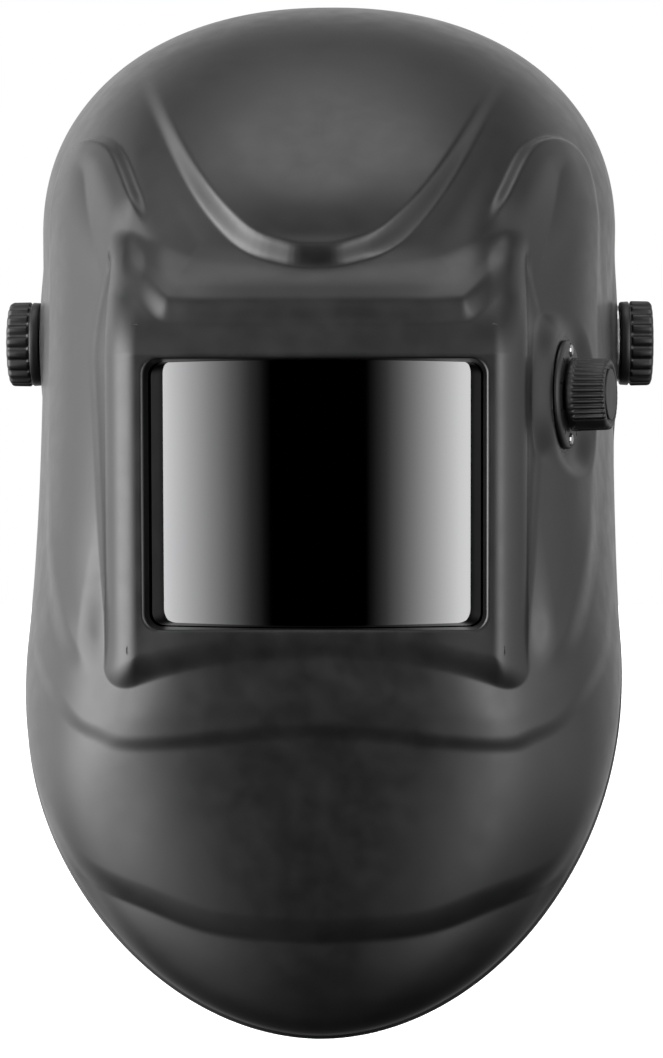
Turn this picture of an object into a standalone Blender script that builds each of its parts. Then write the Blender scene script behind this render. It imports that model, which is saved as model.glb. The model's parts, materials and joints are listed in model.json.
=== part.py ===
"""Auto-darkening welding helmet with its headgear, as a bench assembly.

The origin is the midpoint of the pivot axis at the temples. +Z is up, the window faces -Y, and +X is
the wearer's left. Lengths in this file are millimetres, and MM turns them into Blender's metres.
"""

import math

import bmesh
import bpy
import numpy as np
from mathutils import Matrix, Vector

MM = 0.001
GAP = 0.35

# Shell, in its front view (x, z) and its depth y.
CROWN_Z = 119.0
TEMPLE_Z = 40.0
JAW_Z = -104.0
CHIN_Z = -230.0
TEMPLE_HALF = 101.8
PIVOT_HALF = 100.4
JAW_HALF = 99.7
CROWN_POWER = 2.2
CHIN_POWER = 1.95
RIM_DEPTH = [(-230, -100), (-190, -100), (-160, -96), (-135, -80), (-110, -50), (-80, -10),
             (-45, 18), (0, 30), (45, 29), (80, 22), (105, 12), (119, 5)]
FRONT_UP = -154.0
FRONT_SIDE = -150.0
FRONT_DOWN = -147.0
POWER_UP = 1.9
POWER_SIDE = 2.8
POWER_DOWN = 2.0
WALL = 2.4
RAYS = 60
RINGS = 14

# Window group: a plane that leans back towards the chin.
WINDOW_Z = -55.3
WINDOW_Y = -149.5
WINDOW_TILT = 0.07
OPENING = (52.9, 41.8)
OPENING_RADIUS = 5.0
JAMB_TAPER = 0.24
JAMB_GAP = 1.3
PILLAR_HALF = 66.5
PILLAR_RADIUS = 9.0
CORNER_RADIUS = 10.0
HOOD_START = 43.0
LENS_RADIUS = 190.0
LENS_DEPTH = 4.0
LENS_HALF = (54.5, 43.5)
LENS_THICK = 1.5
HOOD_LEAN = (0.3, 0.015)
POST_PLACE = (55.0, 48.5)
POST_RADIUS = 3.6
POST_TOP = 12.6
GASKET_HOLE = (51.0, 40.0)

# Filter cartridge, the 110 x 90 mm standard size.
CARTRIDGE = (110.0, 90.0)
GLASS = (96.0, 60.0)
GLASS_Z = -6.0
CARRIER = (59.0, 49.0)
CARRIER_VIEW = (49.5, 39.5)
CARRIER_SEAT = (55.5, 45.5)
CARRIER_BACK = 30.0
CARRIER_FRONT = 15.4
SOLAR_Z = 33.5
SENSOR_X = 44.5
CONTROL_Z = -40.0
DIALS = (("sensitivity_dial", -34.0), ("delay_dial", -16.0))
DRAWER_X = (12.0, 36.0)
DRAWER_Z = (-44.0, -37.2)
BAIL_PIVOT = (-28.0, 27.6)
BAIL_BACK = 31.4
CARTRIDGE_FRONT = 18.0
HOUSING_DEPTH = 7.0
COVER_DEPTH = 2.0

# Pivots.
ARM_X = (89.2, 92.0)
BOSS_X = 94.4
SHELL_OUT_X = 100.8
KNOB_X = (102.6, 114.0)
KNOB_RADIUS = 15.0
PIVOT_HOLE = 4.6
BOLT_RADIUS = 4.0
ARM_OUTLINE = [(14, -15), (16, -13), (16, 8), (13, 11), (-9, 11), (-26, 6), (-28, 3), (-28, -12), (-25, -15)]
STUD_Y = 8.0
STUD_Z = -11.0

# Headgear.
BAND_Y = 20.0
BAND_HALF = 83.9
BAND_FRONT = 105.0
BAND_Z = (2.0, 26.0)
FOAM_THICK = 5.6
NAPE_THICK = 7.4
CROWN_HALF = 79.9
CROWN_RISE = 72.0
CROWN_OVERLAP = 2.2
CROWN_WIDTH = 22.0
PLATE_X = (86.0, 88.6)
PLATE_OUTLINE = [(44, -36), (44, -20), (30, 26), (24, 30), (-14, 30), (-20, 26), (-40, 6), (-40, -18),
                 (-34, -22), (10, -24), (20, -40), (28, -42), (40, -42)]
RACK_Z = (-40.0, -18.0)
RACK_RADII = (81.5, 83.6)
PINION_Z = -29.0
PINION_TEETH = 8
PINION_PITCH = 3.6
PINION_TIP = 4.2
PINION_ROOT = 2.9
RACK_TIP = 3.15
RACK_ROOT = 4.6
SLOT_FLAT = 5.1
RATCHET_RISE = 34.0
RATCHET_SPREAD = 27.0
COVER_RADIUS = 86.4
BACKPLATE_RADIUS = 78.2
NAPE_RADIUS = 70.4
HUB_RADIUS = 15.5
RATCHET_KNOB_RADIUS = 19.5
TOOTH_PITCH = 2 * math.pi * PINION_PITCH / PINION_TEETH

# Shade control on the wearer's left cheek.
SHADE_POINT = (78.6, -110.0, -23.0)
SHADE_ANGLE = math.radians(15.0)
SHADE_FLAT = 18.4
SHADE_PLATE_RADIUS = 17.4
SHADE_SCREW_REACH = 14.2
SHADE_KNOB_RADIUS = 11.7
SHADE_KNOB_Z = (2.5, 15.0)
SPINDLE_RADIUS = 3.05
LEAD_RADIUS = 1.3
LEAD_ENTRY = (-51.2, -38.0)

MATERIALS = {
    "shell_black": ((0.018, 0.018, 0.019), 0.38, 0.0),
    "headgear_black": ((0.022, 0.022, 0.023), 0.55, 0.0),
    "knob_black": ((0.012, 0.012, 0.013), 0.45, 0.0),
    "lens_mirror": ((0.80, 0.80, 0.81), 0.04, 1.0),
    "lens_clear": ((0.55, 0.60, 0.58), 0.05, 0.0),
    "filter_glass": ((0.02, 0.05, 0.04), 0.06, 0.0),
    "solar_blue": ((0.02, 0.02, 0.06), 0.15, 0.0),
    "steel": ((0.55, 0.55, 0.56), 0.30, 1.0),
    "brass": ((0.72, 0.55, 0.25), 0.30, 1.0),
    "rubber": ((0.02, 0.02, 0.02), 0.85, 0.0),
    "foam": ((0.03, 0.03, 0.032), 0.95, 0.0),
    "lead_black": ((0.015, 0.015, 0.015), 0.6, 0.0),
}

parts = bpy.data.collections.new("welding_helmet")
cutters = bpy.data.collections.new("cutters")


# ---------------------------------------------------------------- scene helpers

def clear_scene():
    for item in list(bpy.data.objects):
        bpy.data.objects.remove(item, do_unlink=True)
    bpy.context.scene.collection.children.link(parts)
    bpy.context.scene.collection.children.link(cutters)


def material(name):
    found = bpy.data.materials.get(name)
    if found:
        return found
    color, roughness, metallic = MATERIALS[name]
    made = bpy.data.materials.new(name)
    made.use_nodes = True
    shader = made.node_tree.nodes["Principled BSDF"]
    shader.inputs["Base Color"].default_value = (*color, 1.0)
    shader.inputs["Roughness"].default_value = roughness
    shader.inputs["Metallic"].default_value = metallic
    return made


def mm(x, y, z):
    return Vector((x, y, z)) * MM


def empty(name, place, parent=None, turn=0.0):
    """An empty at a joint or group origin, turned about X."""
    made = bpy.data.objects.new(name, None)
    made.matrix_world = Matrix.Translation(mm(*place)) @ Matrix.Rotation(turn, 4, "X")
    parts.objects.link(made)
    if parent:
        keep_parent(made, parent)
    return made


def keep_parent(child, parent):
    bpy.context.view_layer.update()
    world = child.matrix_world.copy()
    child.parent = parent
    child.matrix_parent_inverse = parent.matrix_world.inverted()
    child.matrix_world = world


def finish_mesh(name, bm, slot, matrix, parent=None, smooth=True):
    """Turn a bmesh into a named part, or into a cutter when slot is None."""
    bmesh.ops.recalc_face_normals(bm, faces=bm.faces)
    mesh = bpy.data.meshes.new(name)
    bm.to_mesh(mesh)
    bm.free()
    made = bpy.data.objects.new(name, mesh)
    made.matrix_world = matrix
    place_object(made, slot, parent, smooth)
    return made


def place_object(made, slot, parent=None, smooth=True):
    """Link a part with its material, or a cutter when slot is None."""
    if slot:
        parts.objects.link(made)
        made.data.materials.append(material(slot))
        if smooth:
            made.data.shade_smooth()
            made.data.set_sharp_from_angle(angle=math.radians(35))
    else:
        cutters.objects.link(made)
        made.hide_render = True
        made.display_type = "WIRE"
    if parent:
        keep_parent(made, parent)


def along(origin, axis, side=(0.0, 0.0, 1.0)):
    """A matrix whose local Z runs along axis and whose local X is close to side."""
    forward = Vector(axis).normalized()
    across = Vector(side) - forward * Vector(side).dot(forward)
    if across.length < 1e-6:
        across = forward.orthogonal()
    across.normalize()
    up = forward.cross(across)
    turned = Matrix((across, up, forward)).transposed().to_4x4()
    return Matrix.Translation(mm(*origin)) @ turned


def box(name, low, high, slot, frame=None, parent=None, bevel=0.0):
    """A box between two corners of a frame, or of the world."""
    bm = bmesh.new()
    bmesh.ops.create_cube(bm, size=1.0)
    size = [b - a for a, b in zip(low, high)]
    middle = [(a + b) / 2 for a, b in zip(low, high)]
    bmesh.ops.scale(bm, vec=Vector(size) * MM, verts=bm.verts)
    matrix = (frame or Matrix()) @ Matrix.Translation(mm(*middle))
    made = finish_mesh(name, bm, slot, matrix, parent, smooth=False)
    if bevel:
        add_bevel(made, bevel)
    return made


def rod(name, radius, start, stop, slot, frame, parent=None, segments=28, bevel=0.0):
    """A cylinder along the frame's local Z."""
    bm = bmesh.new()
    bmesh.ops.create_cone(bm, cap_ends=True, segments=segments, radius1=radius * MM,
                          radius2=radius * MM, depth=(stop - start) * MM)
    matrix = frame @ Matrix.Translation(mm(0, 0, (start + stop) / 2))
    made = finish_mesh(name, bm, slot, matrix, parent)
    if bevel:
        add_bevel(made, bevel)
    return made


def prism(name, outline, start, stop, slot, frame, parent=None, bevel=0.0):
    """A flat outline in the frame's local XY, pulled along local Z."""
    bm = bmesh.new()
    corners = [bm.verts.new(mm(x, y, start)) for x, y in outline]
    face = bm.faces.new(corners)
    pulled = bmesh.ops.extrude_face_region(bm, geom=[face])
    top = [item for item in pulled["geom"] if isinstance(item, bmesh.types.BMVert)]
    bmesh.ops.translate(bm, verts=top, vec=mm(0, 0, stop - start))
    made = finish_mesh(name, bm, slot, frame, parent)
    if bevel:
        add_bevel(made, bevel)
    return made


def turned(name, profile, slot, frame, parent=None, steps=32):
    """A (radius, height) profile, listed down its outer side, turned about local Z."""
    bm = bmesh.new()
    corners = [bm.verts.new(mm(radius, 0, height)) for radius, height in profile]
    on_axis = abs(profile[0][0]) < 1e-9
    pairs = list(zip(corners, corners[1:]))
    if not on_axis:
        pairs.append((corners[-1], corners[0]))
    for first, second in pairs:
        bm.edges.new((first, second))
    mesh = bpy.data.meshes.new(name)
    bm.to_mesh(mesh)
    bm.free()
    made = bpy.data.objects.new(name, mesh)
    made.matrix_world = frame
    screw = made.modifiers.new("turn", "SCREW")
    screw.axis = "Z"
    screw.steps = steps
    screw.render_steps = steps
    screw.use_merge_vertices = True
    screw.merge_threshold = 0.00001
    place_object(made, slot, parent)
    return made


def add_bevel(made, width, segments=2):
    bevel = made.modifiers.new("bevel", "BEVEL")
    bevel.width = width * MM
    bevel.segments = segments
    bevel.limit_method = "ANGLE"
    bevel.angle_limit = math.radians(40)


def boolean(made, other, operation="DIFFERENCE"):
    change = made.modifiers.new(operation.lower(), "BOOLEAN")
    change.operation = operation
    change.object = other
    change.solver = "EXACT"
    return made


def rounded(half_x, half_z, radius, steps=4):
    """A rounded rectangle's outline, anticlockwise."""
    points = []
    for turn, (sx, sz) in enumerate([(1, 1), (-1, 1), (-1, -1), (1, -1)]):
        for step in range(steps + 1):
            angle = math.pi / 2 * (turn + step / steps)
            points.append((sx * (half_x - radius) + radius * math.cos(angle),
                           sz * (half_z - radius) + radius * math.sin(angle)))
    return points


def wave_circle(radius, depth, waves, per_wave=6):
    """A round outline with shallow flutes."""
    count = waves * per_wave
    points = []
    for step in range(count):
        angle = 2 * math.pi * step / count
        reach = radius - depth * (0.5 - 0.5 * math.cos(waves * angle)) ** 2
        points.append((reach * math.cos(angle), reach * math.sin(angle)))
    return points


def strip(name, path, rise, thickness, slot, parent=None):
    """A band: a path of points raised into a sheet by a vector, then thickened outwards."""
    bm = bmesh.new()
    line = [bm.verts.new(mm(*point)) for point in path]
    edges = [bm.edges.new(pair) for pair in zip(line, line[1:])]
    pulled = bmesh.ops.extrude_edge_only(bm, edges=edges)
    top = [item for item in pulled["geom"] if isinstance(item, bmesh.types.BMVert)]
    bmesh.ops.translate(bm, verts=top, vec=mm(*rise))
    mesh = bpy.data.meshes.new(name)
    bm.to_mesh(mesh)
    bm.free()
    made = bpy.data.objects.new(name, mesh)
    thick = made.modifiers.new("thickness", "SOLIDIFY")
    thick.thickness = thickness * MM
    thick.offset = 1.0
    thick.use_even_offset = True
    place_object(made, slot, parent)
    return made


# ---------------------------------------------------------------- shell surface

def flow(points, steps=12):
    """A smooth curve through the points (Catmull-Rom)."""
    p = np.array(points, float)
    p = np.vstack([2 * p[0] - p[1], p, 2 * p[-1] - p[-2]])
    t = np.linspace(0, 1, steps, endpoint=False)[:, None]
    runs = []
    for a, b, c, d in zip(p, p[1:], p[2:], p[3:]):
        runs.append(0.5 * (2 * b + (c - a) * t + (2 * a - 5 * b + 4 * c - d) * t ** 2
                           + (3 * b - a - 3 * c + d) * t ** 3))
    return np.vstack(runs + [p[-2:-1]])


def rim_outline(count=200):
    """Half of the rim's front view, from crown to chin."""
    q = np.linspace(0, math.pi / 2, count)
    crown = np.stack([TEMPLE_HALF * np.sin(q) ** (2 / CROWN_POWER),
                      TEMPLE_Z + (CROWN_Z - TEMPLE_Z) * np.cos(q) ** (2 / CROWN_POWER)], 1)
    side = flow([(TEMPLE_HALF, TEMPLE_Z), (PIVOT_HALF, -20.0), (JAW_HALF, JAW_Z)], count)
    chin = np.stack([JAW_HALF * np.cos(q) ** (2 / CHIN_POWER),
                     JAW_Z + (CHIN_Z - JAW_Z) * np.sin(q) ** (2 / CHIN_POWER)], 1)
    return np.vstack([crown[:-1], side[1:-1], chin])


def rounded_half(half_x, half_z, radius, count=60):
    """Half of a rounded rectangle about the origin, from its top to its bottom."""
    q = np.linspace(0, math.pi / 2, count)
    corner = np.stack([half_x - radius + radius * np.sin(q), half_z - radius + radius * np.cos(q)], 1)
    top = np.stack([np.linspace(0, half_x - radius, count, endpoint=False), np.full(count, half_z)], 1)
    side = np.stack([np.full(count, half_x), np.linspace(half_z - radius, 0, count)], 1)
    upper = np.vstack([top, corner, side[1:]])
    return np.vstack([upper, upper[-2::-1] * [1, -1]])


def evenly(line, count):
    length = np.concatenate([[0], np.cumsum(np.linalg.norm(np.diff(line, axis=0), axis=1))])
    where = np.linspace(0, length[-1], count)
    return np.stack([np.interp(where, length, line[:, i]) for i in range(line.shape[1])], 1)


def bearing(line):
    """The angle of each point from straight up, towards +X."""
    return np.arctan2(line[:, 0], line[:, 1])


def reach(line, angles):
    """How far the line lies from the origin at each bearing."""
    return np.interp(angles, bearing(line), np.linalg.norm(line, axis=1))


def window_plane(x, z):
    return WINDOW_Y - WINDOW_TILT * (z - WINDOW_Z) + x ** 2 / 2000


def lens_face(x, z):
    sag = LENS_RADIUS - np.sqrt(LENS_RADIUS ** 2 - x ** 2)
    return WINDOW_Y - WINDOW_TILT * (z - WINDOW_Z) + LENS_DEPTH + sag


def frame_surface(x, z):
    """The box around the window: flat front, rounded pillars, a hood that leans back."""
    above = np.maximum(z - WINDOW_Z - HOOD_START, 0)
    bottom = WINDOW_Z - 53.0 - 7.5 * (x / 56.0) ** 2
    side = np.abs(x) - PILLAR_HALF + CORNER_RADIUS
    under = bottom - z + CORNER_RADIUS
    corner = np.hypot(np.maximum(side, 0), np.maximum(under, 0))
    outside = corner + np.minimum(np.maximum(side, under), 0) - CORNER_RADIUS
    inset = np.clip(outside + PILLAR_RADIUS, 0, PILLAR_RADIUS)
    round_off = PILLAR_RADIUS - np.sqrt(PILLAR_RADIUS ** 2 - inset ** 2)
    wall = round_off + 4.0 * np.maximum(outside, 0)
    return window_plane(x, z) + wall + HOOD_LEAN[0] * above + HOOD_LEAN[1] * above ** 2


def blend_forward(first, second, width=4.0):
    """The more forward of two depths, with a fillet between them."""
    share = np.clip(0.5 + 0.5 * (second - first) / width, 0, 1)
    return second + (first - second) * share - width * share * (1 - share)


def flatten(points, centre, axis, radius, fade):
    """Press the surface onto a plane within radius of a point, fading out around it."""
    centre = np.array(centre)
    axis = np.array(axis) / np.linalg.norm(axis)
    offset = points - centre
    height = offset @ axis
    away = np.linalg.norm(offset - height[..., None] * axis, axis=-1)
    near = (np.abs(height) < 30) & (away < radius + fade)
    share = np.clip((radius + fade - away) / fade, 0, 1)
    share = np.where(near, share ** 2 * (3 - 2 * share), 0)
    return points - (share * height)[..., None] * axis


def shade_axis():
    return Vector((math.cos(SHADE_ANGLE), -math.sin(SHADE_ANGLE), 0.0))


def shell_rings(rays, rings):
    """Rings of points on the outer skin, from the window's edge to the rim."""
    half = rays // 2 + 1
    rim = rim_outline() - [0, WINDOW_Z]
    window = rounded_half(*OPENING, OPENING_RADIUS)
    angles = (bearing(evenly(rim, half)) + bearing(evenly(window, half))) / 2
    angles = np.concatenate([angles, -angles[-2:0:-1]])
    turn = np.abs(angles)
    start = reach(window, turn)
    stop = reach(rim, turn)
    rim_curve = flow(RIM_DEPTH)
    up = np.clip(np.cos(turn), 0, 1) ** 2
    down = np.clip(-np.cos(turn), 0, 1) ** 2
    power = POWER_SIDE + (POWER_UP - POWER_SIDE) * up + (POWER_DOWN - POWER_SIDE) * down
    front = FRONT_SIDE + (FRONT_UP - FRONT_SIDE) * up + (FRONT_DOWN - FRONT_SIDE) * down
    back = np.interp(stop * np.cos(turn) + WINDOW_Z, rim_curve[:, 0], rim_curve[:, 1])
    u = np.linspace(0, 1, 600)[:, None]
    share = 1 - (1 - u) ** 2.5 * (1 - start / stop)
    out = share * stop
    x = out * np.sin(angles)
    z = out * np.cos(angles) + WINDOW_Z
    y = back + (front - back) * (1 - share ** power) ** (1 / power)
    y = blend_forward(frame_surface(x, z), y)
    skin = np.stack([x, y, z], -1)
    for side in (-1, 1):
        skin = flatten(skin, (side * SHELL_OUT_X, 0, 0), (side, 0, 0), 22, 14)
    skin = flatten(skin, SHADE_POINT, shade_axis(), 18.5, 9)
    steps = np.linalg.norm(np.diff(skin, axis=0), axis=-1)
    length = np.vstack([np.zeros(rays), np.cumsum(steps, axis=0)])
    where = np.linspace(0, 1, rings)
    result = np.empty((rings, rays, 3))
    for ray in range(rays):
        for part in range(3):
            result[:, ray, part] = np.interp(where * length[-1, ray], length[:, ray], skin[:, ray, part])
    return result


def jamb_ring(edge):
    """The recess around the lens: the opening's edge led back to the lens, drawing in."""
    around = np.roll(edge, -1, axis=0) - np.roll(edge, 1, axis=0)
    outward = np.stack([-around[:, 2], around[:, 0]], 1)
    outward /= np.linalg.norm(outward, axis=1)[:, None]
    outward *= np.sign((outward * (edge[:, [0, 2]] - [0, WINDOW_Z])).sum(1))[:, None]
    depth = lens_face(edge[:, 0], edge[:, 2]) - JAMB_GAP - edge[:, 1]
    inner = edge.copy()
    inner[:, [0, 2]] -= outward * (depth * JAMB_TAPER)[:, None]
    inner[:, 1] = lens_face(inner[:, 0], inner[:, 2]) - JAMB_GAP
    return inner


def make_shell(parent):
    rings = shell_rings(RAYS, RINGS)
    rings = np.concatenate([jamb_ring(rings[0])[None], rings])
    bm = bmesh.new()
    verts = [[bm.verts.new(mm(*point)) for point in ring] for ring in rings]
    for inner, outer in zip(verts, verts[1:]):
        for ray in range(RAYS):
            after = (ray + 1) % RAYS
            bm.faces.new((inner[ray], inner[after], outer[after], outer[ray]))
    mesh = bpy.data.meshes.new("helmet_shell")
    bm.to_mesh(mesh)
    bm.free()
    shell = bpy.data.objects.new("helmet_shell", mesh)
    parts.objects.link(shell)
    mesh.materials.append(material("shell_black"))
    mesh.shade_smooth()
    mesh.set_sharp_from_angle(angle=math.radians(50))
    thick = shell.modifiers.new("wall", "SOLIDIFY")
    thick.thickness = WALL * MM
    thick.offset = -1.0
    thick.use_even_offset = True
    keep_parent(shell, parent)
    for number, frame in enumerate(post_frames()):
        upper = number % 2
        post = rod(f"post_{number}", POST_RADIUS, 5.6 if upper else 1.6, POST_TOP, None, frame, segments=12)
        bore = rod(f"post_bore_{number}", 1.5, 7.6 if upper else 5.0, 20.0, None, frame, segments=10)
        boolean(boolean(shell, post, "UNION"), bore)
    for side in (-1, 1):
        boolean(shell, rod("pivot_hole", PIVOT_HOLE, 90, 110, None, along((0, 0, 0), (side, 0, 0))))
    shade = along(SHADE_POINT, shade_axis())
    boolean(shell, rod("shade_boss", SHADE_FLAT, -2.2, 0, None, shade, segments=40), "UNION")
    boolean(shell, rod("shade_face", SHADE_FLAT, 0, 9, None, shade, segments=40))
    boolean(shell, rod("spindle_hole", 5.0, -8, 8, None, shade, segments=20))
    for number, frame in enumerate(shade_screw_frames()):
        boolean(shell, rod(f"shade_hole_{number}", 1.3, -8, 8, None, frame, segments=10))
    return shell


# ---------------------------------------------------------------- window group

def window_frame():
    """Seen from inside: local X to the right, local Y up the window, local Z back towards the viewer."""
    tilt = Matrix.Rotation(WINDOW_TILT, 4, "X")
    face = Matrix(((-1, 0, 0), (0, 0, 1), (0, 1, 0))).to_4x4()
    return Matrix.Translation(mm(0, WINDOW_Y, WINDOW_Z)) @ tilt @ face


def post_frames():
    return [window_frame() @ Matrix.Translation(mm(sx * POST_PLACE[0], sz * POST_PLACE[1], 0))
            for sx in (-1, 1) for sz in (-1, 1)]


def shade_screw_frames():
    shade = along(SHADE_POINT, shade_axis())
    out = Matrix.Translation(mm(SHADE_SCREW_REACH, 0, 0))
    return [shade @ Matrix.Rotation(math.radians(angle), 4, "Z") @ out for angle in (0, 180)]


def curved_sheet(name, half_x, half_z, front, thickness, slot, parent, hole=None):
    """A plate bent to the lens's cylinder, cut to a rounded outline."""
    steps = 18
    path = []
    for step in range(steps + 1):
        x = -half_x + 2 * half_x * step / steps
        sag = LENS_RADIUS - math.sqrt(LENS_RADIUS ** 2 - x ** 2)
        path.append((x, sag + front))
    bm = bmesh.new()
    outline = path + [(x, y + thickness) for x, y in reversed(path)]
    face = bm.faces.new([bm.verts.new(mm(x, -half_z, y)) for x, y in outline])
    pulled = bmesh.ops.extrude_face_region(bm, geom=[face])
    top = [item for item in pulled["geom"] if isinstance(item, bmesh.types.BMVert)]
    bmesh.ops.translate(bm, verts=top, vec=mm(0, 2 * half_z, 0))
    made = finish_mesh(name, bm, slot, window_frame(), parent)
    if hole:
        cutter = prism(f"{name}_hole", rounded(*hole, 3.0), -5, 40, None, window_frame())
        boolean(made, cutter)
    return made


def cut_window(made, half_x, half_z, middle, start, stop, radius=2.0):
    frame = window_frame() @ Matrix.Translation(mm(0, middle, 0))
    cutter = prism(f"{made.name}_cut", rounded(half_x, half_z, radius), start, stop, None, frame)
    return boolean(made, cutter)


def make_lens(parent):
    curved_sheet("outer_cover_lens", *LENS_HALF, LENS_DEPTH, LENS_THICK, "lens_mirror", parent)
    curved_sheet("lens_gasket", *LENS_HALF, LENS_DEPTH + LENS_THICK + GAP, 1.2, "rubber", parent,
                 hole=GASKET_HOLE)


def make_carrier(parent):
    frame = window_frame()
    carrier = prism("filter_carrier", rounded(*CARRIER, 4.0), CARRIER_FRONT, CARRIER_BACK, "headgear_black",
                    frame, parent)
    cut_window(carrier, *CARRIER_VIEW, 0.0, 0.0, 40.0)
    cut_window(carrier, *CARRIER_SEAT, 0.0, CARTRIDGE_FRONT - GAP, 40.0, 1.5)
    for number, place in enumerate(post_frames()):
        ear = rod(f"carrier_ear_{number}", 4.4, 13.0, CARRIER_FRONT + 2.0, None, place, segments=16)
        relief = rod(f"carrier_relief_{number}", 4.0, CARRIER_FRONT + 2.0, 40.0, None, place, segments=16)
        hole = rod(f"carrier_hole_{number}", 1.8, 0.0, 40.0, None, place, segments=12)
        boolean(boolean(boolean(carrier, ear, "UNION"), relief), hole)
    for side in (-1, 1):
        hole = rod("bail_hole", 1.4, 54.0, 62.0, None, bail_axis(side), segments=12)
        boolean(carrier, hole)
    low = (DRAWER_X[0] - 0.8, -60.0, CARTRIDGE_FRONT)
    high = (DRAWER_X[1] + 0.8, DRAWER_Z[0], 40.0)
    boolean(carrier, box("drawer_notch", low, high, None, frame))
    for number, place in enumerate(post_frames(), start=1):
        make_screw(f"carrier_screw_{number}", place, 3.4, 1.15, CARRIER_FRONT + 2.0 + GAP, 1.6, -9.0, parent)


def bail_axis(side):
    origin = window_frame() @ mm(0, *BAIL_PIVOT)
    return along([part / MM for part in origin], (side, 0, 0))


def make_screw(name, place, head, shank, seat, rise, tip, parent):
    """A pan-head screw along the frame's local Z: head above the seat, shank below it."""
    profile = [(0, seat + rise), (head * 0.8, seat + rise), (head, seat + rise * 0.5), (head, seat),
               (shank, seat), (shank, seat + tip), (0, seat + tip)]
    return turned(name, profile, "steel", place, parent, steps=10)


def make_cartridge(parent):
    frame = window_frame()
    back = CARTRIDGE_FRONT + HOUSING_DEPTH
    half_x, half_z = CARTRIDGE[0] / 2, CARTRIDGE[1] / 2
    housing = prism("filter_housing", rounded(half_x, half_z, 2.0), CARTRIDGE_FRONT, back, "headgear_black",
                    frame, parent)
    cut_window(housing, GLASS[0] / 2 - 1.5, GLASS[1] / 2 - 1.5, GLASS_Z, 0, 40)
    cut_window(housing, GLASS[0] / 2 + GAP, GLASS[1] / 2 + GAP, GLASS_Z, CARTRIDGE_FRONT + 1.0, 40)
    cut_window(housing, 38.0, 4.6, SOLAR_Z, 0, CARTRIDGE_FRONT + 1.2, 1.0)
    glass = frame @ Matrix.Translation(mm(0, GLASS_Z, 0))
    prism("lcd_filter_glass", rounded(GLASS[0] / 2, GLASS[1] / 2, 1.5), CARTRIDGE_FRONT + 1.3, back - 0.4,
          "filter_glass", glass, parent)
    solar = frame @ Matrix.Translation(mm(0, SOLAR_Z, 0))
    prism("solar_cell_strip", rounded(37.5, 4.2, 0.8), CARTRIDGE_FRONT - 0.1, CARTRIDGE_FRONT + 0.8,
          "solar_blue", solar, parent)
    board = box("arc_sensor_board", (-48.0, -3.2, CARTRIDGE_FRONT + 1.5), (48.0, 3.2, CARTRIDGE_FRONT + 2.2),
                "filter_glass", solar, parent)
    bay_low = (-48.4, -3.6, CARTRIDGE_FRONT + 1.1)
    bay_high = (48.4, 3.6, CARTRIDGE_FRONT + 2.6)
    boolean(housing, box("board_bay", bay_low, bay_high, None, solar))
    for side in (-1, 1):
        place = solar @ Matrix.Translation(mm(side * SENSOR_X, 0, 0))
        boolean(housing, rod(f"sensor_hole_{side}", 3.3, 0, CARTRIDGE_FRONT + 2.0, None, place, segments=16))
        profile = [(0, CARTRIDGE_FRONT + 1.8), (2.9, CARTRIDGE_FRONT + 1.8), (2.9, CARTRIDGE_FRONT),
                   (2.3, CARTRIDGE_FRONT - 0.7), (1.2, CARTRIDGE_FRONT - 1.1), (0, CARTRIDGE_FRONT - 1.2)]
        boolean(board, turned(f"sensor_dome_{side}", profile, None, place, steps=16), "UNION")
    cover = prism("filter_back_cover", rounded(half_x - 0.8, half_z - 0.8, 2.0), back + GAP,
                  back + GAP + COVER_DEPTH, "headgear_black", frame, parent)
    cut_window(cover, GLASS[0] / 2 - 1.5, GLASS[1] / 2 - 1.5, GLASS_Z, 0, 40)
    cut_window(cover, GLASS[0] / 2 + 1.0, GLASS[1] / 2 + 1.0, GLASS_Z, back + GAP + 0.8, 40)
    prism("inner_cover_lens", rounded(GLASS[0] / 2 + 0.6, GLASS[1] / 2 + 0.6, 1.5), back + GAP + 1.1,
          back + GAP + 2.0, "lens_clear", glass, parent)
    return housing, cover


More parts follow.
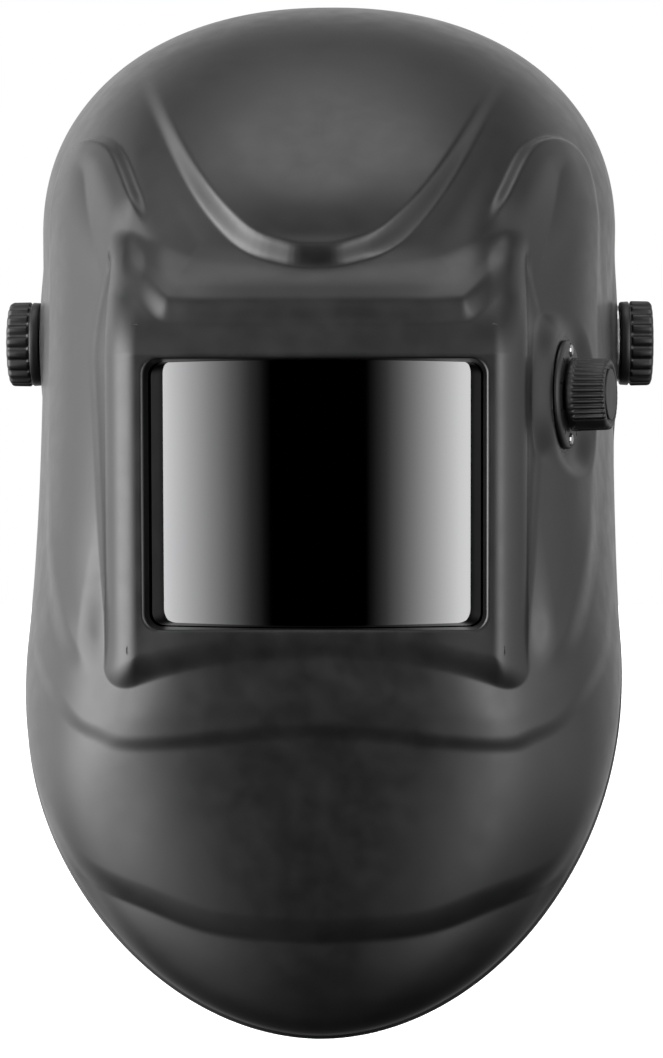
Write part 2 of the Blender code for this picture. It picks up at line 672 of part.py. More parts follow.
def make_controls(parent, housing, cover):
    """Dials, test button and battery drawer along the cartridge's lower back edge."""
    frame = window_frame()
    face = CARTRIDGE_FRONT + HOUSING_DEPTH + GAP + COVER_DEPTH
    for name, x in DIALS:
        place = frame @ Matrix.Translation(mm(x, CONTROL_Z, 0))
        pivot = empty(f"{name}_pivot", [part / MM for part in place.translation], parent)
        boolean(housing, rod(f"{name}_pocket", 1.9, face - 6.0, 40, None, place, segments=14))
        boolean(cover, rod(f"{name}_hole", 1.9, 0, 40, None, place, segments=14))
        profile = [(0, face + 2.6), (3.2, face + 2.6), (3.7, face + 2.1), (3.7, face + GAP),
                   (1.5, face + GAP), (1.5, face - 5.2), (0, face - 5.2)]
        dial = turned(name, profile, "knob_black", place, pivot, steps=20)
        slot_place = place @ Matrix.Translation(mm(0, 0, face + 2.6))
        boolean(dial, box(f"{name}_slot", (-0.5, -3.0, -0.8), (0.5, 3.0, 1.0), None, slot_place))
    place = frame @ Matrix.Translation(mm(0.0, CONTROL_Z, 0))
    for made in (housing, cover):
        boolean(made, rod(f"button_hole_{made.name}", 2.6, face - 5.0, 40, None, place, segments=16))
    rod("test_button", 2.2, face - 3.4, face + 1.2, "shell_black", place, parent, segments=18, bevel=0.4)
    low = (DRAWER_X[0], DRAWER_Z[0], face - COVER_DEPTH - GAP - 4.6)
    high = (DRAWER_X[1], DRAWER_Z[1], face - COVER_DEPTH - GAP - 0.4)
    frame_low = (low[0] - 0.4, -60.0, low[2] - 0.4)
    frame_high = (high[0] + 0.4, high[1] + 0.4, high[2] + 0.4)
    boolean(housing, box("drawer_bay", frame_low, frame_high, None, frame))
    drawer = box("battery_drawer", low, high, "headgear_black", frame, parent)
    well = frame @ Matrix.Translation(mm(sum(DRAWER_X) / 2, sum(DRAWER_Z) / 2, 0))
    boolean(drawer, box("drawer_well", (-10.5, -2.2, low[2] + 1.0), (10.5, 2.4, 40.0), None, well))
    box("coin_cell", (-9.8, -1.8, low[2] + 1.35), (9.8, 2.0, high[2] - 0.2), "steel", well, parent, bevel=0.8)


def make_bail(parent):
    """Spring wire: two short ends in the carrier, up both sides and over the cartridge's back."""
    frame = window_frame()
    foot, front = BAIL_PIVOT
    back = BAIL_BACK
    route = [(60.0, foot, front), (61.2, foot, front), (61.4, foot + 1.4, front + 1.2), (60.0, -22.0, back),
             (57.0, 24.0, back), (54.0, 33.0, back), (48.0, 38.0, back), (36.0, 39.5, back)]
    points = route + [(-x, z, y) for x, z, y in reversed(route)]
    ends = [(56.2, foot, front)]
    points = ends + points + [(-x, z, y) for x, z, y in ends]
    bail = wire("filter_bail", [frame @ mm(*point) for point in points], 0.9, "steel")
    keep_parent(bail, parent)


def wire(name, points, radius, slot, sides=2):
    """A round wire through the points, as a closed mesh."""
    curve = bpy.data.curves.new(name, "CURVE")
    curve.dimensions = "3D"
    curve.bevel_depth = radius * MM
    curve.bevel_resolution = sides
    curve.use_fill_caps = True
    spline = curve.splines.new("POLY")
    spline.points.add(len(points) - 1)
    for target, point in zip(spline.points, points):
        target.co = (*point, 1.0)
    made = bpy.data.objects.new(name, curve)
    parts.objects.link(made)
    curve.materials.append(material(slot))
    return made


# ---------------------------------------------------------------- shade control

def make_shade_control(shell_group, knob_pivot):
    frame = along(SHADE_POINT, shade_axis())
    profile = [(SHADE_PLATE_RADIUS - 0.8, 2.0), (SHADE_PLATE_RADIUS, 1.2), (SHADE_PLATE_RADIUS, GAP),
               (5.0, GAP), (5.0, 1.4), (9.0, 2.0)]
    plate = turned("shade_plate", profile, "knob_black", frame, shell_group, steps=40)
    for tag, place in zip(("upper", "lower"), shade_screw_frames()):
        boolean(plate, rod(f"plate_hole_{tag}", 1.2, -5, 5, None, place, segments=12))
        boolean(plate, rod(f"plate_seat_{tag}", 2.2, 1.2, 5, None, place, segments=16))
        make_screw(f"shade_plate_screw_{tag}", place, 1.9, 0.9, 1.2 + GAP, 1.0, -6.0, shell_group)
    turned("shade_potentiometer",
           [(3.9, 5.6), (4.5, 5.2), (4.5, -2.9), (8.4, -2.9), (8.4, -12.0), (3.4, -12.0), (3.4, 5.6)],
           "lead_black", frame, shell_group, steps=24)
    hexagon = wave_circle(6.2, 0.0, 1)
    nut = prism("shade_nut", hexagon, 2.4, 4.6, "brass", frame, shell_group)
    boolean(nut, rod("nut_bore", 4.8, 0, 8, None, frame, segments=20))
    rod("shade_shaft", SPINDLE_RADIUS, -11.0, 13.0, "steel", frame, knob_pivot, segments=20)
    outline = wave_circle(SHADE_KNOB_RADIUS, 0.7, 30, 4)
    knob = prism("shade_knob", outline, *SHADE_KNOB_Z, "knob_black", frame, knob_pivot)
    boolean(knob, rod("knob_cavity", 8.0, 0.0, 6.2, None, frame, segments=24))
    boolean(knob, rod("knob_bore", 3.4, 5.0, 13.4, None, frame, segments=20))
    dish = [(0, 20), (9.6, 20), (9.6, 15.0), (8.6, 14.0), (0, 14.0)]
    boolean(knob, turned("knob_dish", dish, None, frame, steps=28))
    rod("shade_knob_cap", 8.2, 14.0 + GAP, 15.2, "headgear_black", frame, knob_pivot, segments=28, bevel=0.3)


def make_lead(parent):
    """The lead from the control's back down past the bail's foot to the cartridge's lower corner."""
    shade = along(SHADE_POINT, shade_axis())
    back = CARTRIDGE_FRONT + HOUSING_DEPTH + GAP + COVER_DEPTH
    start = shade @ mm(0, 0, -12.4)
    near = window_frame() @ mm(*LEAD_ENTRY, back + 4.0)
    stop = window_frame() @ mm(*LEAD_ENTRY, back + GAP)
    route = [tuple(start / MM), (63.0, -105.4, -26.5), (62.4, -104.8, -36.0), (63.2, -104.8, -52.0),
             (64.0, -105.2, -70.0), (63.5, -107.0, -84.0), (60.0, -110.5, -92.0), (55.0, -113.5, -93.5),
             tuple(near / MM), tuple(stop / MM)]
    points = [Vector(point) * MM for point in flow(route, 4)]
    lead = wire("shade_lead", points, LEAD_RADIUS, "lead_black")
    keep_parent(lead, parent)


# ---------------------------------------------------------------- pivots

def make_arm(side, parent):
    tag = "left" if side > 0 else "right"
    frame = along((0, 0, 0), (side, 0, 0), (0, 1, 0))
    outline = [(x, side * z) for x, z in ARM_OUTLINE]
    arm = prism(f"pivot_arm_{tag}", outline, *ARM_X, "headgear_black", frame, parent)
    boolean(arm, rod(f"arm_boss_{tag}", 9.6, ARM_X[0] + 0.5, BOSS_X, None, frame), "UNION")
    boolean(arm, rod(f"arm_pocket_{tag}", 7.7, 80, 91.6, None, frame))
    boolean(arm, box(f"arm_square_{tag}", (-4.45, -4.45, 80), (4.45, 4.45, 110), None, frame))
    stud = frame @ Matrix.Translation(mm(STUD_Y, side * STUD_Z, 0))
    boolean(arm, rod(f"arm_stud_{tag}", 2.4, 84.8, ARM_X[0] + 0.5, None, stud, segments=16), "UNION")
    boolean(arm, rod(f"arm_stud_head_{tag}", 4.0, 84.2, 85.6, None, stud, segments=16), "UNION")
    bolt = rod(f"pivot_bolt_{tag}", BOLT_RADIUS, 89.5, 110.2, "steel", frame, parent, segments=24)
    boolean(bolt, rod(f"bolt_head_{tag}", 7.3, 89.5, 91.2, None, frame), "UNION")
    boolean(bolt, box(f"bolt_square_{tag}", (-4.1, -4.1, 90.0), (4.1, 4.1, 94.2), None, frame), "UNION")
    turned(f"inner_washer_{tag}", [(13.0, 97.7), (13.0, 94.9), (5.0, 94.9), (5.0, 97.7)], "rubber", frame,
           parent, steps=20)
    turned(f"outer_washer_{tag}", [(13.6, 102.2), (13.6, 101.2), (4.6, 101.2), (4.6, 102.2)], "steel", frame,
           parent, steps=20)
    if side > 0:
        stop = prism("tilt_stop_plate", rounded(12.8, 22.0, 12.0), 92.4, 94.0, "steel", frame, parent)
        boolean(stop, rod("stop_bore", 10.0, 80, 110, None, frame))


def make_tension_knob(side, pivot):
    tag = "left" if side > 0 else "right"
    frame = along((0, 0, 0), (side, 0, 0), (0, 1, 0))
    start, stop = KNOB_X
    knob = prism(f"tension_knob_{tag}", wave_circle(KNOB_RADIUS, 1.1, 20, 4), start + 2.2, stop, "knob_black",
                 frame, pivot)
    boolean(knob, rod(f"knob_collar_{tag}", 13.9, start, start + 3.0, None, frame, segments=36), "UNION")
    boolean(knob, rod(f"insert_pocket_{tag}", 7.0, 90, start + 7.0, None, frame))
    boolean(knob, rod(f"bolt_bore_{tag}", 4.6, 90, 111.0, None, frame))
    turned(f"knob_insert_{tag}", [(6.6, start + 6.6), (6.6, start + 0.4), (4.35, start + 0.4),
                                  (4.35, start + 6.6)], "brass", frame, pivot, steps=24)


# ---------------------------------------------------------------- headgear

def arc_path(radius, start, stop, z, steps):
    """Points on a circle about the band's centre. Angles in degrees from +Y towards +X."""
    points = []
    for step in range(steps + 1):
        angle = math.radians(start + (stop - start) * step / steps)
        points.append((radius * math.sin(angle), BAND_Y + radius * math.cos(angle), z))
    return points


def brow_path(half_x, half_y, start, stop, z, steps):
    """Points on the brow ellipse. Angles in degrees from -Y towards +X."""
    points = []
    for step in range(steps + 1):
        angle = math.radians(start + (stop - start) * step / steps)
        points.append((half_x * math.sin(angle), BAND_Y - half_y * math.cos(angle), z))
    return points


def make_bands(parent):
    rise = BAND_Z[1] - BAND_Z[0]
    band = strip("brow_band", brow_path(BAND_HALF, BAND_FRONT, 100, -100, BAND_Z[0], 44), (0, 0, rise), 1.8,
                 "headgear_black", parent)
    inset = FOAM_THICK + 0.8
    strip("sweatband", brow_path(BAND_HALF - inset, BAND_FRONT - inset, 58, -58, BAND_Z[0] - 2, 26),
          (0, 0, rise + 4), FOAM_THICK, "foam", parent)
    crown = []
    for side, tag, lift, stop in ((1, "left", 0.0, -24.0), (-1, "right", CROWN_OVERLAP, 24.0)):
        path = []
        steps = 22
        for step in range(steps + 1):
            angle = math.radians(90 + (stop * side - 90) * step / steps)
            lifted = lift * min(1.0, max(0.0, (60 - math.degrees(angle)) / 25))
            path.append((side * (CROWN_HALF + lifted) * math.sin(angle), -1.0,
                         24.0 + (CROWN_RISE + lifted) * math.cos(angle)))
        path = [(side * CROWN_HALF, -1.0, 6.0)] + path
        if side < 0:
            path = path[::-1]
        strap = strip(f"crown_strap_{tag}", path, (0, CROWN_WIDTH, 0), 1.6, "headgear_black", parent)
        crown.append(strap)
    return band, crown


def make_crown_peg(parent, crown):
    frame = along((0, 10, 0), (0, 0, 1))
    for strap in crown:
        for step in (-1, 0, 1):
            place = frame @ Matrix.Translation(mm(12.0 * step, 0, 0))
            boolean(strap, rod(f"peg_hole_{step}_{strap.name}", 2.8, 80, 120, None, place, segments=16))
    turned("crown_peg", [(0, 103.2), (5.4, 103.2), (6.0, 102.4), (6.0, 100.4), (2.3, 100.4), (2.3, 95.4),
                         (3.4, 95.4), (3.4, 94.2), (0, 94.2)], "headgear_black", frame, parent, steps=14)


def make_temple_plates(parent, band, crown):
    for side, tag in ((1, "left"), (-1, "right")):
        frame = along((0, 0, 0), (side, 0, 0), (0, 1, 0))
        outline = [(x, side * z) for x, z in PLATE_OUTLINE]
        plate = prism(f"temple_plate_{tag}", outline, *PLATE_X, "headgear_black", frame, parent)
        slot = [(x, side * z) for x, z in ((-12, -8.1), (8, -8.1), (10, -9), (10.9, -11), (10, -13),
                                           (8, -13.9), (-12, -13.9), (-14, -13), (-14.9, -11), (-14, -9))]
        boolean(plate, prism(f"arm_slot_{tag}", slot, 80, 95, None, frame))
        low, high = sorted((side * -43.0, side * -14.5))
        keeper = box(f"rack_keeper_{tag}", (22, low, 76.8), (34, high, 86.2), None, frame)
        boolean(plate, keeper, "UNION")
        low, high = sorted((side * -40.6, side * -17.4))
        boolean(plate, box(f"rack_way_{tag}", (18, low, 78.4), (38, high, 85.9), None, frame))
        place = frame @ Matrix.Translation(mm(10.0, side * 16.0, 0))
        strap = crown[0] if side > 0 else crown[1]
        for made in (plate, band, strap):
            boolean(made, rod(f"rivet_hole_{tag}_{made.name}", 2.3, 76, 95, None, place, segments=16))
        profile = [(0, 90.2), (3.2, 90.2), (4.2, 89.6), (4.2, 88.95), (1.9, 88.95), (1.9, 79.5),
                   (4.2, 79.5), (4.2, 78.9), (3.2, 78.3), (0, 78.3)]
        turned(f"headband_rivet_{tag}", profile, "steel", place, parent, steps=12)


def make_rack(side, pivot):
    """A rear strap whose toothed slot meets the pinion from above or below."""
    tag = "left" if side > 0 else "right"
    radius = RACK_RADII[0] if side < 0 else RACK_RADII[1]
    start, stop = (-24, 98) if side > 0 else (-98, 24)
    rise = RACK_Z[1] - RACK_Z[0]
    rack = strip(f"rack_strap_{tag}", arc_path(radius, start, stop, RACK_Z[0], 34), (0, 0, rise), 1.6,
                 "headgear_black", pivot)
    pitch = math.degrees(TOOTH_PITCH / (radius + 0.8))
    reach_out = 7 * pitch
    points = [(-reach_out, -SLOT_FLAT * side), (reach_out, -SLOT_FLAT * side)]
    for tooth in range(6, -8, -1):
        middle = (tooth + 0.5) * pitch
        for offset, depth in ((0.22, RACK_ROOT), (0.11, RACK_TIP), (-0.11, RACK_TIP), (-0.22, RACK_ROOT)):
            points.append((middle + offset * pitch, depth * side))
    slot = bmesh.new()
    inner, outer = [], []
    for angle, z in points:
        turn = math.radians(angle)
        for out, target in ((70, inner), (95, outer)):
            place = mm(out * math.sin(turn), BAND_Y + out * math.cos(turn), PINION_Z + z)
            target.append(slot.verts.new(place))
    slot.faces.new(inner)
    slot.faces.new(outer[::-1])
    for first in range(len(points)):
        second = (first + 1) % len(points)
        slot.faces.new((inner[first], inner[second], outer[second], outer[first]))
    boolean(rack, finish_mesh(f"rack_slot_{tag}", slot, None, Matrix()))
    return rack


def make_ratchet(parent, knob_pivot):
    axis = along((0, BAND_Y, PINION_Z), (0, 1, 0))
    rise = RATCHET_RISE
    spread = RATCHET_SPREAD
    low = PINION_Z - rise / 2
    cover = strip("ratchet_cover", arc_path(COVER_RADIUS, -spread, spread, low, 16), (0, 0, rise), 2.2,
                  "headgear_black", parent)
    hub = rod("ratchet_hub", HUB_RADIUS, 87.0, 92.0, None, axis, segments=36)
    boolean(cover, hub, "UNION")
    boolean(cover, rod("hub_hollow", 12.5, 60, 90.2, None, axis))
    boolean(cover, rod("hub_bore", 3.6, 60, 110, None, axis))
    plate = strip("ratchet_backplate", arc_path(BACKPLATE_RADIUS, -spread, spread, low, 16), (0, 0, rise),
                  2.0, "headgear_black", parent)
    boolean(plate, rod("backplate_bore", 2.6, 60, 82, None, axis))
    for side, tag in ((1, "left"), (-1, "right")):
        turn = Matrix.Rotation(math.radians(-side * 23.5), 4, "Z")
        place = Matrix.Translation(mm(0, BAND_Y, PINION_Z + 14.2)) @ turn @ along((0, 0, 0), (0, 1, 0))
        for made in (cover, plate):
            boolean(made, rod(f"ratchet_hole_{tag}_{made.name}", 1.5, 60, 95, None, place, segments=12))
        make_screw(f"ratchet_screw_{tag}", place, 2.6, 1.1, 89.0, 1.2, -11.0, parent)
    strip("nape_pad", arc_path(NAPE_RADIUS, -25, 25, PINION_Z - 16, 16), (0, 0, 32), NAPE_THICK, "foam", parent)
    gear = []
    for tooth in range(PINION_TEETH):
        middle = 2 * math.pi * tooth / PINION_TEETH
        for offset, out in ((-0.22, PINION_ROOT), (-0.10, PINION_TIP), (0.10, PINION_TIP), (0.22, PINION_ROOT)):
            angle = middle + offset * 2 * math.pi / PINION_TEETH
            gear.append((out * math.cos(angle), out * math.sin(angle)))
    pinion = prism("ratchet_pinion", gear, 80.8, 86.0, "brass", axis, knob_pivot)
    boolean(pinion, rod("pinion_nose", 2.2, 78.4, 81.2, None, axis, segments=16), "UNION")
    boolean(pinion, rod("pinion_shaft", 3.2, 85.6, 98.0, None, axis, segments=16), "UNION")
    outline = wave_circle(RATCHET_KNOB_RADIUS, 1.3, 16, 5)
    knob = prism("ratchet_knob", outline, 92.5, 105.0, "knob_black", axis, knob_pivot)
    boolean(knob, rod("ratchet_knob_bore", 3.5, 80, 98.4, None, axis, segments=16))


# ---------------------------------------------------------------- assembly

def build():
    clear_scene()
    headgear = empty("headgear", (0, 0, 0))
    carriage = empty("reach_slide", (0, 0, 0), headgear)
    shell_group = empty("shell_tilt", (0, 0, 0), carriage)
    shade_pivot = empty("shade_turn", SHADE_POINT, shell_group)
    bail_pivot = empty("bail_turn", (0, WINDOW_Y + 29.5, WINDOW_Z - 26.0), shell_group)
    make_shell(shell_group)
    make_lens(shell_group)
    make_carrier(shell_group)
    housing, cover = make_cartridge(shell_group)
    make_controls(shell_group, housing, cover)
    make_bail(bail_pivot)
    make_shade_control(shell_group, shade_pivot)
    make_lead(shell_group)
    for side in (1, -1):
        make_arm(side, carriage)
        make_tension_knob(side, empty(f"tension_turn_{side}", (side * KNOB_X[0], 0, 0), carriage))
        make_rack(side, empty(f"rack_turn_{side}", (0, BAND_Y, PINION_Z), headgear))
    band, crown = make_bands(headgear)
    make_crown_peg(headgear, crown)
    make_temple_plates(headgear, band, crown)
    make_ratchet(headgear, empty("ratchet_turn", (0, BAND_Y, PINION_Z), headgear))


build()
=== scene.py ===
"""Looks of the auto-darkening welding helmet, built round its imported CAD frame.

Lengths are millimetres until a mesh is made, and MM turns them into the frame's metres. +Z is up, the
window faces -Y and +X is the wearer's left.
"""

import json
import math

import bmesh
import bpy
import numpy as np
from mathutils import Matrix, Vector


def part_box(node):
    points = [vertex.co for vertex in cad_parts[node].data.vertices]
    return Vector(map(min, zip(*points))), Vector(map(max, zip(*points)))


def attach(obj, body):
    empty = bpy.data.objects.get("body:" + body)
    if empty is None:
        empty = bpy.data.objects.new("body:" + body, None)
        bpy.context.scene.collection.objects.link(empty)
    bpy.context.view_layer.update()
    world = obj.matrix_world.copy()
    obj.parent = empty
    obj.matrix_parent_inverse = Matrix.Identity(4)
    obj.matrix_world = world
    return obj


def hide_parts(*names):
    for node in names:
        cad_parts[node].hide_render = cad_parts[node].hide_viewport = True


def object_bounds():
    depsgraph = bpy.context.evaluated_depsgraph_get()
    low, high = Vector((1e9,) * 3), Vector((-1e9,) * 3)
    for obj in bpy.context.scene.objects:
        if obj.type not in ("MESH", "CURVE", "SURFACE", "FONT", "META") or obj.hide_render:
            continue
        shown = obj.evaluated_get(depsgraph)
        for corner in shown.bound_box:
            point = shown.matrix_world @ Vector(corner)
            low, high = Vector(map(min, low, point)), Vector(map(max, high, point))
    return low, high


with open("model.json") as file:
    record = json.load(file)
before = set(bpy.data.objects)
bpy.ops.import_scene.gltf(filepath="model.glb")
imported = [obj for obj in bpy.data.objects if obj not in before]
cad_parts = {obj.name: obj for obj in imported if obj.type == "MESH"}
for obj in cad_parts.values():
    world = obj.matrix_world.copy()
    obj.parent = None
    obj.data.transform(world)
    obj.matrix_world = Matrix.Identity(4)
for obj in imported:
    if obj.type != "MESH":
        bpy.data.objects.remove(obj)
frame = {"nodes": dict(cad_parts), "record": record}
cad_low, cad_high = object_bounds()

MM = 0.001

# Camera.
AIM = Vector((0.00054, 0.0, -0.0659))
CAMERA_TURN = math.radians(1.8)
CAMERA_REACH = 1.1
LENS = 105.14
FLOOR_DROP = 0.16

# Shell: the CAD surface's dimensions, with the pillars a little rounder and the jamb a little steeper.
CROWN_Z = 119.0
TEMPLE_Z = 40.0
JAW_Z = -104.0
CHIN_Z = -230.0
TEMPLE_HALF = 101.8
PIVOT_HALF = 100.4
JAW_HALF = 99.7
CROWN_POWER = 2.2
CHIN_POWER = 1.95
RIM_DEPTH = [(-230, -100), (-190, -100), (-160, -96), (-135, -80), (-110, -50), (-80, -10),
             (-45, 18), (0, 30), (45, 29), (80, 22), (105, 12), (119, 5)]
FRONT_UP = -154.0
FRONT_SIDE = -150.0
FRONT_DOWN = -147.0
POWER_UP = 1.9
POWER_SIDE = 2.8
POWER_DOWN = 2.0
WALL = 2.4
SHELL_OUT_X = 100.8
WINDOW_Z = -55.3
WINDOW_Y = -149.5
WINDOW_TILT = 0.07
OPENING = (52.9, 41.8)
OPENING_RADIUS = 5.0
JAMB_TAPER = 0.1
JAMB_GAP = 1.3
PILLAR_HALF = 66.0
PILLAR_RADIUS = 11.0
CORNER_RADIUS = 10.0
FRAME_FOOT = 53.0
FRAME_FOOT_DROP = 7.5
FRAME_FOOT_SPAN = 56.0
FRAME_WALL_SLOPE = 4.0
FRAME_BOW = 2000.0
FRAME_FILLET = 4.0
HOOD_START = 43.0
HOOD_LEAN = (0.3, 0.015)
LENS_RADIUS = 190.0
LENS_DEPTH = 4.0
LENS_HALF = (54.5, 43.5)
LENS_THICK = 1.5
LENS_GRID = (72, 24)
POST_PLACE = (55.0, 48.5)
POST_RADIUS = 3.6
POST_BORE = 1.5
POST_END = 12.6
PIVOT_FLAT = (22.0, 14.0)
PIVOT_HOLE = 4.6
SHADE_POINT = (78.6, -110.0, -23.0)
SHADE_ANGLE = math.radians(15.0)
SHADE_FLAT = 18.4
SHADE_FADE = 9.0
SHADE_SCREW_REACH = 14.2
SHADE_SCREW_HOLE = 1.3
SPINDLE_HOLE = 5.0

# Fineness of the shell.
RAYS = 880
SAMPLES = 700
FRONT_RINGS = 160
INNER_RINGS = 22

# Styling lines in the front view, as (|x|, z).
DOME_LINE = [(70, 114), (65, 100), (41, 50), (24, 27), (10, 20), (0, 18.8), (-10, 20)]
HOOD_LINE = [(76, 50), (70, 37), (58, 17), (48, 5), (42, 3), (20, 2.6), (0, 2.6), (-10, 2.6)]
CHEEK_LINE = [(52, 26), (59, 41), (67, 57), (77, 62), (86, 57), (90, 41), (90, 18), (89, -11), (87, -39),
              (84, -67), (79, -90), (73, -106), (67, -114)]
BAND_LINE = [(98.5, -40), (98, -54), (97, -67), (95, -86), (90, -106), (77, -123.5), (67, -129),
             (59, -131.5), (40, -130.5), (24, -128.5), (0, -127), (-10, -127)]
CHIN_LINE = [(92, -160), (80, -177), (55, -187.5), (32, -195), (0, -197), (-10, -197)]
# Each raised edge: its rise, the width of its foot, and how far in it starts and stops sinking away.
DOME_EDGE = (5.4, 4.2, 12.0, 70.0)
HOOD_EDGE = (2.4, 6.0, 5.0, 22.0)
BAND_EDGE = (1.1, 4.5, 6.0, 24.0)
CHEEK_RISE = 3.0
CHEEK_FOOT = (2.4, 7.4)
CHEEK_SINK = (5.0, 22.0)
CHEEK_ROLL = 1.2
EDGE_ROLL = 1.6
CHIN_DROP = 1.9
CHIN_WIDTH = (9.0, 20.0)
# The rim's bead: distances in from the rim, and the rise at each.
HEM_PLACES = (3.8, 3.3, 3.0, 2.7, 2.2, 1.2)
HEM_RISE = (0.0, 0.08, 0.5, 0.75, 0.8, 0.55)
HEM_START = 4.6

# Knobs.
TENSION_KNOB = (102.6, 114.0)
TENSION_BORE_END = 111.0
TENSION_FLUTES = 20
RATCHET_FLUTES = 16
KNURL_RIBS = 38
KNURL_POINTER = math.radians(145)
POINTER_HALF = math.radians(9)
DIAL_TICKS = 9
DIAL_TICK_START = 44
DIAL_TICK_STEP = 34

# Pads: the head's half axes and centre, then thickness, half angle and sewn channels (degrees).
BAND_HALF = (78.0, 99.1)
HEAD_CENTRE_Y = 20.0
BROW_THICK = 4.6
BROW_ANGLE = 57
BROW_CHANNELS = (-42, -28, -14, 0, 14, 28, 42)
NAPE_RADIUS = 71.0
NAPE_THICK = 6.2
NAPE_ANGLE = 24
NAPE_CHANNELS = (-12, 0, 12)


# ---------------------------------------------------------------- camera, floor and light

def make_camera():
    data = bpy.data.cameras.new("camera")
    data.lens = LENS
    data.sensor_width = 36.0
    data.clip_start = 0.05
    data.clip_end = 60.0
    camera = bpy.data.objects.new("camera", data)
    bpy.context.scene.collection.objects.link(camera)
    back = Vector((math.sin(CAMERA_TURN), -math.cos(CAMERA_TURN), 0.0))
    camera.location = AIM + back * CAMERA_REACH
    camera.rotation_euler = (math.pi / 2, 0.0, CAMERA_TURN)
    bpy.context.scene.camera = camera


def make_floor():
    bm = bmesh.new()
    bmesh.ops.create_grid(bm, x_segments=1, y_segments=1, size=12.0)
    mesh = bpy.data.meshes.new("floor")
    bm.to_mesh(mesh)
    bm.free()
    floor = bpy.data.objects.new("floor", mesh)
    floor.location = (0.0, 0.0, cad_low.z - FLOOR_DROP)
    floor.visible_glossy = False
    floor.visible_diffuse = False
    bpy.context.scene.collection.objects.link(floor)
    made, shader, _ = new_material("pale_floor")
    shader.inputs["Base Color"].default_value = (0.9, 0.9, 0.9, 1.0)
    shader.inputs["Roughness"].default_value = 0.9
    shader.inputs["Specular IOR Level"].default_value = 0.1
    shader.inputs["Emission Color"].default_value = (1.0, 1.0, 1.0, 1.0)
    shader.inputs["Emission Strength"].default_value = 0.42
    mesh.materials.append(made)


# Light round the sides as (bearing, strength), the bearing in degrees from straight ahead and negative on
# the wearer's right. A softbox stands at each side, dark between them.
LIGHT_LEFT = [(-180, 0.8), (-150, 1.2), (-120, 2.4), (-95, 4.0), (-70, 12.0), (-45, 11.0)]
LIGHT_RIGHT = [(34, 7.0), (42, 3.2), (65, 2.2), (110, 0.9), (150, 0.7), (180, 1.0)]
# Each softbox's edge towards the front: where it starts, where it is full, and its strength there.
LEFT_EDGE = (-12.0, -36.0, 9.0)
RIGHT_EDGE = (9.0, 29.0, 8.0)
EDGE_FADE = 1.8
EDGE_STEPS = 6
# Height of the light's direction (-1 down, 1 up): share of the light round the sides, and added top light.
LIGHT_SIDES = [(-1.0, 0.02), (-0.8, 0.08), (-0.45, 0.6), (-0.2, 1.0), (0.35, 1.0), (0.6, 0.45), (0.8, 0.1),
               (1.0, 0.04)]
LIGHT_TOP = [(-1.0, 0.0), (0.25, 0.0), (0.5, 0.42), (0.8, 0.25), (0.92, 0.7), (1.0, 2.9)]


def ramp(tree, stops, low, high):
    """A curve of strength over a range, as a colour ramp. Strengths over 1 are carried by a scale."""
    scale = max(value for _, value in stops)
    node = tree.nodes.new("ShaderNodeValToRGB")
    node.color_ramp.interpolation = "EASE"
    while len(node.color_ramp.elements) < len(stops):
        node.color_ramp.elements.new(0.5)
    for element, (place, value) in zip(node.color_ramp.elements, stops):
        element.position = (place - low) / (high - low)
    for element, (place, value) in zip(node.color_ramp.elements, stops):
        element.color = (value / scale, value / scale, value / scale, 1.0)
    return node, scale


def math_node(tree, operation, first, second=None):
    node = tree.nodes.new("ShaderNodeMath")
    node.operation = operation
    for socket, value in zip(node.inputs, (first, second)):
        if isinstance(value, (int, float)):
            socket.default_value = value
        elif value is not None:
            tree.links.new(value, socket)
    return node.outputs[0]


def softbox_edge(start, full, strength):
    """Stops of light growing smoothly from nothing at start."""
    shares = [step / EDGE_STEPS for step in range(EDGE_STEPS + 1)]
    return [(start + (full - start) * share, strength * share ** EDGE_FADE) for share in shares]


